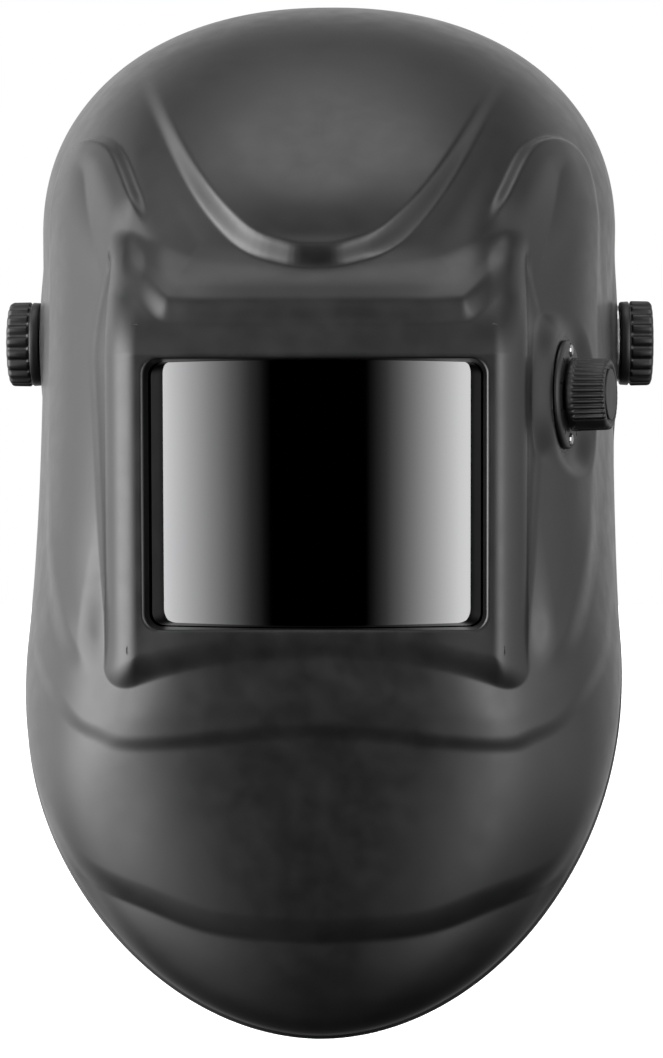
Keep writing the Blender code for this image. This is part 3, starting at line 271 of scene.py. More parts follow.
def make_world():
    """A studio: dark ahead, bright softboxes at both sides and above. The backdrop itself is white."""
    world = bpy.data.worlds.new("studio")
    bpy.context.scene.world = world
    world.use_nodes = True
    tree = world.node_tree
    tree.nodes.clear()
    place = tree.nodes.new("ShaderNodeTexCoord")
    split = tree.nodes.new("ShaderNodeSeparateXYZ")
    tree.links.new(place.outputs["Generated"], split.inputs[0])
    ahead = math_node(tree, "MULTIPLY", split.outputs["Y"], -1.0)
    turn = math_node(tree, "ARCTAN2", split.outputs["X"], ahead)
    turn = math_node(tree, "ADD", math_node(tree, "DIVIDE", turn, 2 * math.pi), 0.5)
    stops = LIGHT_LEFT + softbox_edge(*LEFT_EDGE)[::-1] + softbox_edge(*RIGHT_EDGE) + LIGHT_RIGHT
    around, around_scale = ramp(tree, stops, -180, 180)
    around.color_ramp.interpolation = "LINEAR"
    tree.links.new(turn, around.inputs[0])
    height = math_node(tree, "ADD", math_node(tree, "MULTIPLY", split.outputs["Z"], 0.5), 0.5)
    sides, sides_scale = ramp(tree, LIGHT_SIDES, -1, 1)
    top, top_scale = ramp(tree, LIGHT_TOP, -1, 1)
    tree.links.new(height, sides.inputs[0])
    tree.links.new(height, top.inputs[0])
    side_light = math_node(tree, "MULTIPLY", around.outputs[0], sides.outputs[0])
    side_light = math_node(tree, "MULTIPLY", side_light, around_scale * sides_scale)
    top_light = math_node(tree, "MULTIPLY", top.outputs[0], top_scale)
    lamp = tree.nodes.new("ShaderNodeBackground")
    tree.links.new(math_node(tree, "ADD", side_light, top_light), lamp.inputs["Strength"])
    backdrop = tree.nodes.new("ShaderNodeBackground")
    backdrop.inputs["Color"].default_value = (1.0, 1.0, 1.0, 1.0)
    path = tree.nodes.new("ShaderNodeLightPath")
    mix = tree.nodes.new("ShaderNodeMixShader")
    output = tree.nodes.new("ShaderNodeOutputWorld")
    tree.links.new(path.outputs["Is Camera Ray"], mix.inputs[0])
    tree.links.new(lamp.outputs[0], mix.inputs[1])
    tree.links.new(backdrop.outputs[0], mix.inputs[2])
    tree.links.new(mix.outputs[0], output.inputs[0])
    bpy.context.scene.view_settings.view_transform = "Standard"


# ---------------------------------------------------------------- materials

def new_material(name):
    made = bpy.data.materials.new(name)
    made.use_nodes = True
    shader = made.node_tree.nodes["Principled BSDF"]
    place = made.node_tree.nodes.new("ShaderNodeTexCoord").outputs["Object"]
    return made, shader, place


def noise(tree, place, scale, detail=3.0, stretch=None):
    """Noise over the object, scale in features per metre."""
    node = tree.nodes.new("ShaderNodeTexNoise")
    node.inputs["Scale"].default_value = scale
    node.inputs["Detail"].default_value = detail
    if stretch:
        mapping = tree.nodes.new("ShaderNodeMapping")
        mapping.inputs["Scale"].default_value = stretch
        tree.links.new(place, mapping.inputs["Vector"])
        place = mapping.outputs[0]
    tree.links.new(place, node.inputs["Vector"])
    return node.outputs["Fac"]


def spread(tree, value, low, high):
    """The middle of a noise stretched to a range."""
    node = tree.nodes.new("ShaderNodeMapRange")
    node.inputs["From Min"].default_value = 0.3
    node.inputs["From Max"].default_value = 0.7
    node.inputs["To Min"].default_value = low
    node.inputs["To Max"].default_value = high
    tree.links.new(value, node.inputs["Value"])
    return node.outputs[0]


def mix_color(tree, share, first, second):
    node = tree.nodes.new("ShaderNodeMix")
    node.data_type = "RGBA"
    tree.links.new(share, node.inputs["Factor"])
    for socket, value in ((node.inputs[6], first), (node.inputs[7], second)):
        if isinstance(value, bpy.types.NodeSocket):
            tree.links.new(value, socket)
        else:
            socket.default_value = (*value, 1.0)
    return node.outputs[2]


def bump(tree, shader, height, depth_mm):
    node = tree.nodes.new("ShaderNodeBump")
    node.inputs["Distance"].default_value = depth_mm * MM
    node.inputs["Strength"].default_value = 1.0
    tree.links.new(height, node.inputs["Height"])
    tree.links.new(node.outputs[0], shader.inputs["Normal"])


def plastic(name, color, roughness, grain=0.012, grain_size=0.35, wear=0.0):
    """Moulded plastic: faint colour drift, cloudy gloss, fine spark-eroded grain, rubbed edges."""
    made, shader, place = new_material(name)
    tree = made.node_tree
    darker = tuple(part * 0.8 for part in color)
    lighter = tuple(part * 1.25 for part in color)
    tone = mix_color(tree, spread(tree, noise(tree, place, 45), 0.0, 1.0), darker, lighter)
    if wear:
        edges = tree.nodes.new("ShaderNodeNewGeometry").outputs["Pointiness"]
        convex = tree.nodes.new("ShaderNodeMapRange")
        convex.inputs["From Min"].default_value = 0.53
        convex.inputs["From Max"].default_value = 0.62
        tree.links.new(edges, convex.inputs["Value"])
        patchy = spread(tree, noise(tree, place, 260, 4.0), 0.0, wear)
        rubbed = math_node(tree, "MULTIPLY", convex.outputs[0], patchy)
        tone = mix_color(tree, rubbed, tone, tuple(part * 3.0 for part in color))
    tree.links.new(tone, shader.inputs["Base Color"])
    gloss = spread(tree, noise(tree, place, 130, 4.0), roughness - 0.035, roughness + 0.035)
    tree.links.new(gloss, shader.inputs["Roughness"])
    fine = noise(tree, place, 1000 / grain_size, 2.0)
    bump(tree, shader, fine, grain)
    return made


def metal(name, color, roughness, brushing=(1, 1, 12)):
    """Machined or plated metal with fine brushing and slight tarnish."""
    made, shader, place = new_material(name)
    tree = made.node_tree
    shader.inputs["Metallic"].default_value = 1.0
    dull = tuple(part * 0.72 for part in color)
    tree.links.new(mix_color(tree, spread(tree, noise(tree, place, 220), 0, 1), dull, color),
                   shader.inputs["Base Color"])
    lines = noise(tree, place, 900, 3.0, brushing)
    tree.links.new(spread(tree, lines, roughness - 0.07, roughness + 0.09), shader.inputs["Roughness"])
    bump(tree, shader, lines, 0.006)
    return made


def mirror_lens(name):
    """Dark polycarbonate whose face reflects a tenth of the light, faintly smeared."""
    made, shader, place = new_material(name)
    tree = made.node_tree
    shader.inputs["Metallic"].default_value = 1.0
    tint = spread(tree, noise(tree, place, 14, 1.0), 0.0, 1.0)
    tree.links.new(mix_color(tree, tint, (0.096, 0.096, 0.098), (0.1, 0.1, 0.1)),
                   shader.inputs["Base Color"])
    smear = noise(tree, place, 26, 5.0, (1, 1, 0.3))
    tree.links.new(spread(tree, smear, 0.02, 0.05), shader.inputs["Roughness"])
    return made


def glass(name, color, roughness=0.04, transmission=1.0):
    """Clear or dark plate glass, slightly uneven."""
    made, shader, place = new_material(name)
    tree = made.node_tree
    shader.inputs["Transmission Weight"].default_value = transmission
    shader.inputs["IOR"].default_value = 1.5
    tone = spread(tree, noise(tree, place, 30), 0, 1)
    tree.links.new(mix_color(tree, tone, color, tuple(part * 0.9 for part in color)),
                   shader.inputs["Base Color"])
    tree.links.new(spread(tree, noise(tree, place, 50, 4.0), roughness, roughness + 0.05),
                   shader.inputs["Roughness"])
    return made


def knitted(name, color):
    """Knitted facing over foam: rows of loops, fuzz and sheen."""
    made, shader, place = new_material(name)
    tree = made.node_tree
    shader.inputs["Roughness"].default_value = 0.9
    shader.inputs["Sheen Weight"].default_value = 0.35
    shader.inputs["Sheen Roughness"].default_value = 0.4
    loops = tree.nodes.new("ShaderNodeTexVoronoi")
    loops.inputs["Scale"].default_value = 850
    stretch = tree.nodes.new("ShaderNodeMapping")
    stretch.inputs["Scale"].default_value = (1.0, 1.0, 0.62)
    tree.links.new(place, stretch.inputs["Vector"])
    tree.links.new(stretch.outputs[0], loops.inputs["Vector"])
    fuzz = noise(tree, place, 2600, 2.0)
    weave = math_node(tree, "ADD", math_node(tree, "MULTIPLY", loops.outputs["Distance"], -1.4),
                      math_node(tree, "MULTIPLY", fuzz, 0.35))
    shade = spread(tree, math_node(tree, "ADD", weave, 0.9), 0.0, 1.0)
    darker = tuple(part * 0.5 for part in color)
    lighter = tuple(part * 1.5 for part in color)
    tree.links.new(mix_color(tree, shade, darker, lighter), shader.inputs["Base Color"])
    bump(tree, shader, weave, 0.28)
    return made


def solar_film(name):
    """Dark cells split by fine lighter bus lines."""
    made, shader, place = new_material(name)
    tree = made.node_tree
    lines = tree.nodes.new("ShaderNodeTexWave")
    lines.bands_direction = "X"
    lines.inputs["Scale"].default_value = 46
    tree.links.new(place, lines.inputs["Vector"])
    sharp = tree.nodes.new("ShaderNodeMapRange")
    sharp.inputs["From Min"].default_value = 0.93
    sharp.inputs["From Max"].default_value = 0.97
    tree.links.new(lines.outputs["Fac"], sharp.inputs["Value"])
    tree.links.new(mix_color(tree, sharp.outputs[0], (0.012, 0.014, 0.05), (0.2, 0.2, 0.22)),
                   shader.inputs["Base Color"])
    tree.links.new(spread(tree, noise(tree, place, 120), 0.12, 0.2), shader.inputs["Roughness"])
    return made


# ---------------------------------------------------------------- mesh helpers

def new_piece(name, mesh, body, finish, slot, *nodes):
    """A named piece in the row frame that rides on a body and stands for CAD nodes."""
    piece = bpy.data.objects.new(name, mesh)
    bpy.context.scene.collection.objects.link(piece)
    mesh.materials.clear()
    mesh.materials.append(finish)
    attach(piece, body)
    if nodes:
        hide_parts(*nodes)
    return piece


def mesh_from(name, verts, faces, angle=35.0):
    mesh = bpy.data.meshes.new(name)
    mesh.from_pydata(np.asarray(verts).tolist(), [], faces)
    bm = bmesh.new()
    bm.from_mesh(mesh)
    bmesh.ops.recalc_face_normals(bm, faces=bm.faces)
    bm.to_mesh(mesh)
    bm.free()
    mesh.shade_smooth()
    mesh.set_sharp_from_angle(angle=math.radians(angle))
    return mesh


def along(origin, axis, side=(0.0, 0.0, 1.0)):
    """A matrix in metres whose local Z runs along axis and whose local X is close to side."""
    forward = Vector(axis).normalized()
    across = Vector(side) - forward * Vector(side).dot(forward)
    if across.length < 1e-6:
        across = forward.orthogonal()
    across.normalize()
    turned = Matrix((across, forward.cross(across), forward)).transposed().to_4x4()
    return Matrix.Translation(Vector(origin) * MM) @ turned


def shade_axis():
    return Vector((math.cos(SHADE_ANGLE), -math.sin(SHADE_ANGLE), 0.0))


def window_frame():
    """Seen from inside: local X to the right, local Y up the window, local Z back."""
    tilt = Matrix.Rotation(WINDOW_TILT, 4, "X")
    face = Matrix(((-1, 0, 0), (0, 0, 1), (0, 1, 0))).to_4x4()
    return Matrix.Translation(Vector((0, WINDOW_Y, WINDOW_Z)) * MM) @ tilt @ face


def lofted(name, sections, count, groove, matrix, angle=35.0):
    """A turned form whose rings may be grooved: sections are (height, radius, groove depth)."""
    angles = np.arange(count) * 2 * math.pi / count
    cut = np.array([groove(angle) for angle in angles])
    verts, rings = [], []
    for height, radius, depth in sections:
        start = len(verts)
        if radius < 1e-6:
            verts.append((0.0, 0.0, height))
            rings.append([start])
            continue
        out = radius - depth * cut
        verts.extend(zip(out * np.cos(angles), out * np.sin(angles), np.full(count, height)))
        rings.append(list(range(start, start + count)))
    faces = []
    pairs = list(zip(rings, rings[1:]))
    if len(rings[0]) > 1:
        pairs.append((rings[-1], rings[0]))
    for first, second in pairs:
        for step in range(count):
            after = (step + 1) % count
            quad = [first[step % len(first)], first[after % len(first)],
                    second[after % len(second)], second[step % len(second)]]
            faces.append(list(dict.fromkeys(quad)))
    placed = [matrix @ (Vector(vert) * MM) for vert in verts]
    return mesh_from(name, [tuple(vert) for vert in placed], faces, angle)


def solid_rod(radius, start, stop, matrix, segments=48):
    return lofted("rod", [(start, 0, 0), (start, radius, 0), (stop, radius, 0), (stop, 0, 0)], segments,
                  lambda angle: 0.0, matrix)


def cut_mesh(mesh, changes):
    """Boolean changes to a closed mesh: (operation, mesh) pairs, in order."""
    target = bpy.data.objects.new("target", mesh)
    bpy.context.scene.collection.objects.link(target)
    tools = []
    for operation, tool_mesh in changes:
        tool = bpy.data.objects.new("tool", tool_mesh)
        bpy.context.scene.collection.objects.link(tool)
        tools.append(tool)
        change = target.modifiers.new("change", "BOOLEAN")
        change.operation = operation
        change.object = tool
        change.solver = "MANIFOLD"
    made = bpy.data.meshes.new_from_object(target.evaluated_get(bpy.context.evaluated_depsgraph_get()))
    for item in [target, *tools]:
        bpy.data.objects.remove(item)
    return made


# ---------------------------------------------------------------- shell surface

def smoothstep(low, high, value):
    t = np.clip((value - low) / (high - low), 0, 1)
    return t * t * (3 - 2 * t)


def flow(points, steps=12):
    """A smooth curve through the points (Catmull-Rom)."""
    p = np.array(points, float)
    p = np.vstack([2 * p[0] - p[1], p, 2 * p[-1] - p[-2]])
    t = np.linspace(0, 1, steps, endpoint=False)[:, None]
    runs = []
    for a, b, c, d in zip(p, p[1:], p[2:], p[3:]):
        runs.append(0.5 * (2 * b + (c - a) * t + (2 * a - 5 * b + 4 * c - d) * t ** 2
                           + (3 * b - a - 3 * c + d) * t ** 3))
    return np.vstack(runs + [p[-2:-1]])


def rim_outline(count=200):
    """Half of the rim's front view, from crown to chin."""
    q = np.linspace(0, math.pi / 2, count)
    crown = np.stack([TEMPLE_HALF * np.sin(q) ** (2 / CROWN_POWER),
                      TEMPLE_Z + (CROWN_Z - TEMPLE_Z) * np.cos(q) ** (2 / CROWN_POWER)], 1)
    side = flow([(TEMPLE_HALF, TEMPLE_Z), (PIVOT_HALF, -20.0), (JAW_HALF, JAW_Z)], count)
    chin = np.stack([JAW_HALF * np.cos(q) ** (2 / CHIN_POWER),
                     JAW_Z + (CHIN_Z - JAW_Z) * np.sin(q) ** (2 / CHIN_POWER)], 1)
    return np.vstack([crown[:-1], side[1:-1], chin])


def rounded_half(half_x, half_z, radius, count=60):
    """Half of a rounded rectangle about the origin, from its top to its bottom."""
    q = np.linspace(0, math.pi / 2, count)
    corner = np.stack([half_x - radius + radius * np.sin(q), half_z - radius + radius * np.cos(q)], 1)
    top = np.stack([np.linspace(0, half_x - radius, count, endpoint=False), np.full(count, half_z)], 1)
    side = np.stack([np.full(count, half_x), np.linspace(half_z - radius, 0, count)], 1)
    upper = np.vstack([top, corner, side[1:]])
    return np.vstack([upper, upper[-2::-1] * [1, -1]])


def evenly(line, count):
    length = np.concatenate([[0], np.cumsum(np.linalg.norm(np.diff(line, axis=0), axis=1))])
    where = np.linspace(0, length[-1], count)
    return np.stack([np.interp(where, length, line[:, i]) for i in range(line.shape[1])], 1)


def bearing(line):
    """The angle of each point from straight up, towards +X."""
    return np.arctan2(line[:, 0], line[:, 1])


def reach(line, angles):
    """How far the line lies from the origin at each bearing."""
    return np.interp(angles, bearing(line), np.linalg.norm(line, axis=1))


def window_plane(x, z):
    return WINDOW_Y - WINDOW_TILT * (z - WINDOW_Z) + x ** 2 / FRAME_BOW


def lens_face(x, z):
    sag = LENS_RADIUS - np.sqrt(LENS_RADIUS ** 2 - x ** 2)
    return WINDOW_Y - WINDOW_TILT * (z - WINDOW_Z) + LENS_DEPTH + sag


def frame_surface(x, z):
    """The box around the window: flat front, rounded pillars, a hood that leans back."""
    above = np.maximum(z - WINDOW_Z - HOOD_START, 0)
    bottom = WINDOW_Z - FRAME_FOOT - FRAME_FOOT_DROP * (x / FRAME_FOOT_SPAN) ** 2
    side = np.abs(x) - PILLAR_HALF + CORNER_RADIUS
    under = bottom - z + CORNER_RADIUS
    corner = np.hypot(np.maximum(side, 0), np.maximum(under, 0))
    outside = corner + np.minimum(np.maximum(side, under), 0) - CORNER_RADIUS
    inset = np.clip(outside + PILLAR_RADIUS, 0, PILLAR_RADIUS)
    round_off = PILLAR_RADIUS - np.sqrt(PILLAR_RADIUS ** 2 - inset ** 2)
    wall = round_off + FRAME_WALL_SLOPE * np.maximum(outside, 0)
    return window_plane(x, z) + wall + HOOD_LEAN[0] * above + HOOD_LEAN[1] * above ** 2


def blend_forward(first, second, width=FRAME_FILLET):
    """The more forward of two depths, with a fillet between them."""
    share = np.clip(0.5 + 0.5 * (second - first) / width, 0, 1)
    return second + (first - second) * share - width * share * (1 - share)


def flatten(points, centre, axis, radius, fade):
    """Press the surface onto a plane within radius of a point, fading out around it."""
    centre = np.array(centre)
    axis = np.array(axis) / np.linalg.norm(axis)
    offset = points - centre
    height = offset @ axis
    away = np.linalg.norm(offset - height[..., None] * axis, axis=-1)
    near = (np.abs(height) < 30) & (away < radius + fade)
    share = np.clip((radius + fade - away) / fade, 0, 1)
    share = np.where(near, share ** 2 * (3 - 2 * share), 0)
    return points - (share * height)[..., None] * axis


def base_skin():
    """The smooth outer skin, [sample along a ray, ray, xyz], before its styling lines."""
    half = RAYS // 2 + 1
    rim = rim_outline() - [0, WINDOW_Z]
    window = rounded_half(*OPENING, OPENING_RADIUS)
    angles = (bearing(evenly(rim, half)) + bearing(evenly(window, half))) / 2
    angles = np.concatenate([angles, -angles[-2:0:-1]])
    turn = np.abs(angles)
    start = reach(window, turn)
    stop = reach(rim, turn)
    rim_curve = flow(RIM_DEPTH)
    up = np.clip(np.cos(turn), 0, 1) ** 2
    down = np.clip(-np.cos(turn), 0, 1) ** 2
    power = POWER_SIDE + (POWER_UP - POWER_SIDE) * up + (POWER_DOWN - POWER_SIDE) * down
    front = FRONT_SIDE + (FRONT_UP - FRONT_SIDE) * up + (FRONT_DOWN - FRONT_SIDE) * down
    back = np.interp(stop * np.cos(turn) + WINDOW_Z, rim_curve[:, 0], rim_curve[:, 1])
    u = np.linspace(0, 1, SAMPLES)[:, None]
    share = 1 - (1 - u) ** 2.5 * (1 - start / stop)
    out = share * stop
    x = out * np.sin(angles)
    z = out * np.cos(angles) + WINDOW_Z
    y = back + (front - back) * (1 - share ** power) ** (1 / power)
    y = blend_forward(frame_surface(x, z), y)
    return np.stack([x, y, z], -1)


def signed_distance(x, z, line, inside):
    """Distance to a front-view line, positive where inside holds."""
    away = np.full(x.shape, 1e9)
    for a, b in zip(line, line[1:]):
        run = b - a
        t = np.clip(((x - a[0]) * run[0] + (z - a[1]) * run[1]) / (run @ run), 0, 1)
        away = np.minimum(away, np.hypot(x - a[0] - t * run[0], z - a[1] - t * run[1]))
    return np.where(inside, away, -away)


def above(x, z, line):
    order = np.argsort(line[:, 0])
    return z > np.interp(x, line[order, 0], line[order, 1])


def enclosed(x, z, line):
    """Inside the polygon that the line closes."""
    inside = np.zeros(x.shape, bool)
    for a, b in zip(line, np.roll(line, -1, axis=0)):
        if a[1] == b[1]:
            continue
        crosses = (a[1] > z) != (b[1] > z)
        inside ^= crosses & (x < a[0] + (b[0] - a[0]) * (z - a[1]) / (b[1] - a[1]))
    return inside


def ledge(distance, width, near, far, roll=EDGE_ROLL):
    """A raised area: an edge rolling down to a foot outside it, sinking away again further in."""
    return smoothstep(-width, roll, distance) * (1 - smoothstep(near, far, distance))


def raised_above(x, z, line, edge):
    """The rise of the area above a styling line."""
    rise, foot, near, far = edge
    return rise * ledge(signed_distance(x, z, line, above(x, z, line)), foot, near, far)


def styling(x, z):
    """How far the styling lines raise the skin, in the front view."""
    x = np.abs(x)
    dome, hood, cheek, band, chin = (flow(line, 6) for line in (DOME_LINE, HOOD_LINE, CHEEK_LINE, BAND_LINE,
                                                                CHIN_LINE))
    raised = raised_above(x, z, dome, DOME_EDGE) * (1 - smoothstep(30, 92, z))
    raised += raised_above(x, z, hood, HOOD_EDGE) * (1 - smoothstep(46, 64, x))
    away = signed_distance(x, z, cheek, enclosed(x, z, cheek))
    foot = CHEEK_FOOT[0] + (CHEEK_FOOT[1] - CHEEK_FOOT[0]) * smoothstep(38, -30, z)
    first, last = CHEEK_LINE[0], CHEEK_LINE[-1]
    closing = last[0] + (z - last[1]) * (first[0] - last[0]) / (first[1] - last[1])
    ends = smoothstep(0, 16, np.hypot(x - first[0], z - first[1])) * smoothstep(-114, -96, z)
    ends = ends * smoothstep(0, 8, x - closing)
    raised += CHEEK_RISE * ledge(away, foot, *CHEEK_SINK, CHEEK_ROLL) * ends
    raised += raised_above(x, z, band, BAND_EDGE) * (1 - smoothstep(-78, -50, z))
    away = signed_distance(x, z, chin, above(x, z, chin))
    groove = np.clip(1 - np.abs(away) / np.where(away > 0, *CHIN_WIDTH), 0, 1) ** 1.5
    raised -= CHIN_DROP * groove * (1 - smoothstep(-172, -140, z))
    return raised


def shell_rings():
    """Outer rings from the window to the rim, and the matching inner rings back again."""
    skin = base_skin()
    along_ray = np.gradient(skin, axis=0)
    around = np.roll(skin, -1, axis=1) - np.roll(skin, 1, axis=1)
    normal = np.cross(along_ray, around)
    normal /= np.linalg.norm(normal, axis=-1, keepdims=True)
    normal *= -np.sign(normal[0, :, 1].mean())
    raised = styling(skin[..., 0], skin[..., 2])
    raised = raised * smoothstep(0.08, 0.5, -normal[..., 1])
    skin = skin + normal * raised[..., None]
    for side in (-1, 1):
        skin = flatten(skin, (side * SHELL_OUT_X, 0, 0), (side, 0, 0), *PIVOT_FLAT)
    skin = flatten(skin, SHADE_POINT, shade_axis(), SHADE_FLAT, SHADE_FADE)
    move = np.diff(skin, axis=0)
    length = np.vstack([np.zeros(RAYS), np.cumsum(np.linalg.norm(move, axis=-1), axis=0)])
    seen = np.vstack([np.zeros(RAYS), np.cumsum(np.linalg.norm(move * [1, 0.3, 1], axis=-1), axis=0)])
    outer = np.empty((FRONT_RINGS + len(HEM_PLACES), RAYS, 3))
    inner = np.empty((INNER_RINGS, RAYS, 3))
    share = np.linspace(0, 1, FRONT_RINGS)
    for ray in range(RAYS):
        end = length[-1, ray]
        first, last = np.interp([1.0, end - HEM_START], length[:, ray], seen[:, ray])
        places = np.interp(first + (last - first) * share, seen[:, ray], length[:, ray])
        places = np.concatenate([places, end - np.array(HEM_PLACES)])
        inner_places = np.linspace(end - 2.0, 3.4, INNER_RINGS)
        for part in range(3):
            line = skin[:, ray, part]
            off = normal[:, ray, part]
            hem = np.interp(places, length[:, ray], off) \
                * np.concatenate([np.zeros(FRONT_RINGS), HEM_RISE]) * hem_share(skin[-1, ray, 2])
            outer[:, ray, part] = np.interp(places, length[:, ray], line) + hem
            inner[:, ray, part] = np.interp(inner_places, length[:, ray], line - off * WALL)
    return skin, outer, inner


def hem_share(z):
    """The rim's bead is full round the chin and faint over the crown."""
    return 0.35 + 0.65 * float(smoothstep(20, -60, z))


def jamb_ring(edge):
    """The recess around the lens: the opening's edge led back to the lens, drawing in."""
    around = np.roll(edge, -1, axis=0) - np.roll(edge, 1, axis=0)
    outward = np.stack([-around[:, 2], around[:, 0]], 1)
    outward /= np.linalg.norm(outward, axis=1)[:, None]
    outward *= np.sign((outward * (edge[:, [0, 2]] - [0, WINDOW_Z])).sum(1))[:, None]
    depth = lens_face(edge[:, 0], edge[:, 2]) - JAMB_GAP - edge[:, 1]
    inner = edge.copy()
    inner[:, [0, 2]] -= outward * (depth * JAMB_TAPER)[:, None]
    inner[:, 1] = lens_face(inner[:, 0], inner[:, 2]) - JAMB_GAP
    behind = inner.copy()
    behind[:, [0, 2]] += outward * 1.6
    return inner, behind


def shell_mesh():
    skin, outer, inner = shell_rings()
    edge = skin[0]
    jamb, behind = jamb_ring(edge)
    inward = jamb - edge
    inward /= np.linalg.norm(inward, axis=1)[:, None]
    foot = edge + inward * 0.9
    rings = [jamb, (jamb + foot) / 2]
    for t in (0.0, 0.25, 0.5, 0.75):
        rings.append((1 - t) ** 2 * foot + 2 * t * (1 - t) * edge + t * t * outer[0])
    rings.extend(outer)
    rim, under = outer[-1], inner[0]
    middle, half = (rim + under) / 2, (rim - under) / 2
    tangent = skin[-1] - skin[-12]
    tangent /= np.linalg.norm(tangent, axis=1)[:, None]
    for turn in (30, 60, 90, 120, 150):
        a = math.radians(turn)
        rings.append(middle + half * math.cos(a) + tangent * 1.2 * math.sin(a))
    rings.extend(inner)
    rings.append(behind)
    rings = np.array(rings) * MM
    count = len(rings)
    index = np.arange(count * RAYS).reshape(count, RAYS)
    across = np.roll(index, -1, axis=1)
    after = np.roll(index, -1, axis=0)
    faces = np.stack([index, across, np.roll(across, -1, axis=0), after], -1).reshape(-1, 4)
    return mesh_from("helmet_shell_skin", rings.reshape(-1, 3), faces.tolist(), 40.0)


def make_shell(finish):
    """The skin with its screw posts, pivot holes and the shade control's flat seat and holes."""
    changes = []
    window = window_frame()
    for number, (sx, sz) in enumerate([(-1, -1), (-1, 1), (1, -1), (1, 1)]):
        place = window @ Matrix.Translation(Vector((sx * POST_PLACE[0], sz * POST_PLACE[1], 0)) * MM)
        upper = number % 2
        changes.append(("UNION", solid_rod(POST_RADIUS, 5.6 if upper else 2.2, POST_END, place)))
        changes.append(("DIFFERENCE", solid_rod(POST_BORE, 7.6 if upper else 5.0, 20.0, place, 24)))
    for side in (-1, 1):
        changes.append(("DIFFERENCE", solid_rod(PIVOT_HOLE, 90, 110, along((0, 0, 0), (side, 0, 0)))))
    shade = along(SHADE_POINT, shade_axis())
    changes.append(("UNION", solid_rod(SHADE_FLAT, -2.2, 0, shade, 96)))
    changes.append(("DIFFERENCE", solid_rod(SHADE_FLAT, 0, 9, shade, 96)))
    changes.append(("DIFFERENCE", solid_rod(SPINDLE_HOLE, -8, 8, shade)))
    for turn in (0, math.pi):
        hole = shade @ Matrix.Rotation(turn, 4, "Z") @ Matrix.Translation((SHADE_SCREW_REACH * MM, 0, 0))
        changes.append(("DIFFERENCE", solid_rod(SHADE_SCREW_HOLE, -8, 8, hole, 24)))
    mesh = cut_mesh(shell_mesh(), changes)
    new_piece("shell_skin", mesh, "shell", finish, "shell_black", "helmet_shell")


# ---------------------------------------------------------------- window

def make_lens(finish):
    """A plate bent to the lens's cylinder, with eased edges."""
    columns, rows = LENS_GRID
    x = np.linspace(-LENS_HALF[0], LENS_HALF[0], columns)
    up = np.linspace(-LENS_HALF[1], LENS_HALF[1], rows)
    sag = LENS_RADIUS - np.sqrt(LENS_RADIUS ** 2 - x ** 2)
    window = window_frame()
    verts = [window @ (Vector((a, b, LENS_DEPTH + s)) * MM) for b in up for a, s in zip(x, sag)]
    faces = [(r * columns + c, r * columns + c + 1, (r + 1) * columns + c + 1, (r + 1) * columns + c)
             for r in range(rows - 1) for c in range(columns - 1)]
    mesh = bpy.data.meshes.new("lens")
    mesh.from_pydata([tuple(v) for v in verts], [], faces)
    sheet = bpy.data.objects.new("lens_sheet", mesh)
    bpy.context.scene.collection.objects.link(sheet)
    thick = sheet.modifiers.new("thickness", "SOLIDIFY")
    thick.thickness = LENS_THICK * MM
    facing_out = mesh.polygons[0].normal.y < 0
    thick.offset = -1.0 if facing_out else 1.0
    bevel = sheet.modifiers.new("bevel", "BEVEL")
    bevel.width = 0.3 * MM
    bevel.segments = 3
    bevel.limit_method = "ANGLE"
    made = bpy.data.meshes.new_from_object(sheet.evaluated_get(bpy.context.evaluated_depsgraph_get()))
    bpy.data.objects.remove(sheet)
    made.shade_smooth()
    made.set_sharp_from_angle(angle=math.radians(35))
    new_piece("cover_lens", made, "shell", finish, "lens_mirror", "outer_cover_lens")


# ---------------------------------------------------------------- knobs

def flutes(waves, sharp):
    """Scallops around a knob: 0 on the ribs, 1 at the bottom of the grooves."""
    return lambda angle: (0.5 - 0.5 * math.cos(waves * angle)) ** sharp


def make_tension_knobs(finish):
    start, stop = TENSION_KNOB
    for side, tag in ((1, "left"), (-1, "right")):
        matrix = along((0, 0, 0), (side, 0, 0), (0, 1, 0))
        sections = [(stop - 0.9, 0, 0), (stop - 0.9, 9.6, 0), (stop - 0.7, 10.0, 0), (stop - 0.15, 10.4, 0),
                    (stop, 10.9, 0), (stop, 12.8, 0.5), (stop - 0.12, 13.7, 0.8), (stop - 0.45, 14.35, 1.0),
                    (stop - 0.9, 14.75, 1.1), (stop - 1.6, 14.9, 1.15), (stop - 7.0, 15.0, 1.15),
                    (stop - 7.4, 14.9, 1.0), (stop - 7.6, 14.5, 0.4), (stop - 7.8, 14.2, 0.0),
                    (stop - 8.1, 14.2, 0.0), (stop - 8.3, 14.7, 0.0), (stop - 8.6, 14.85, 0.0),
                    (start + 0.5, 14.7, 0.0), (start + 0.1, 14.4, 0.0), (start, 14.0, 0.0),
                    (start, 7.0, 0), (start + 7.0, 7.0, 0), (start + 7.0, 4.6, 0),
                    (TENSION_BORE_END, 4.6, 0), (TENSION_BORE_END, 0, 0)]
        mesh = lofted(f"tension_{tag}", sections, 400, flutes(TENSION_FLUTES, 1.5), matrix, 50.0)
        new_piece(f"tension_grip_{tag}", mesh, f"tension_{tag}", finish, "knob_black",
                  f"tension_knob_{tag}")


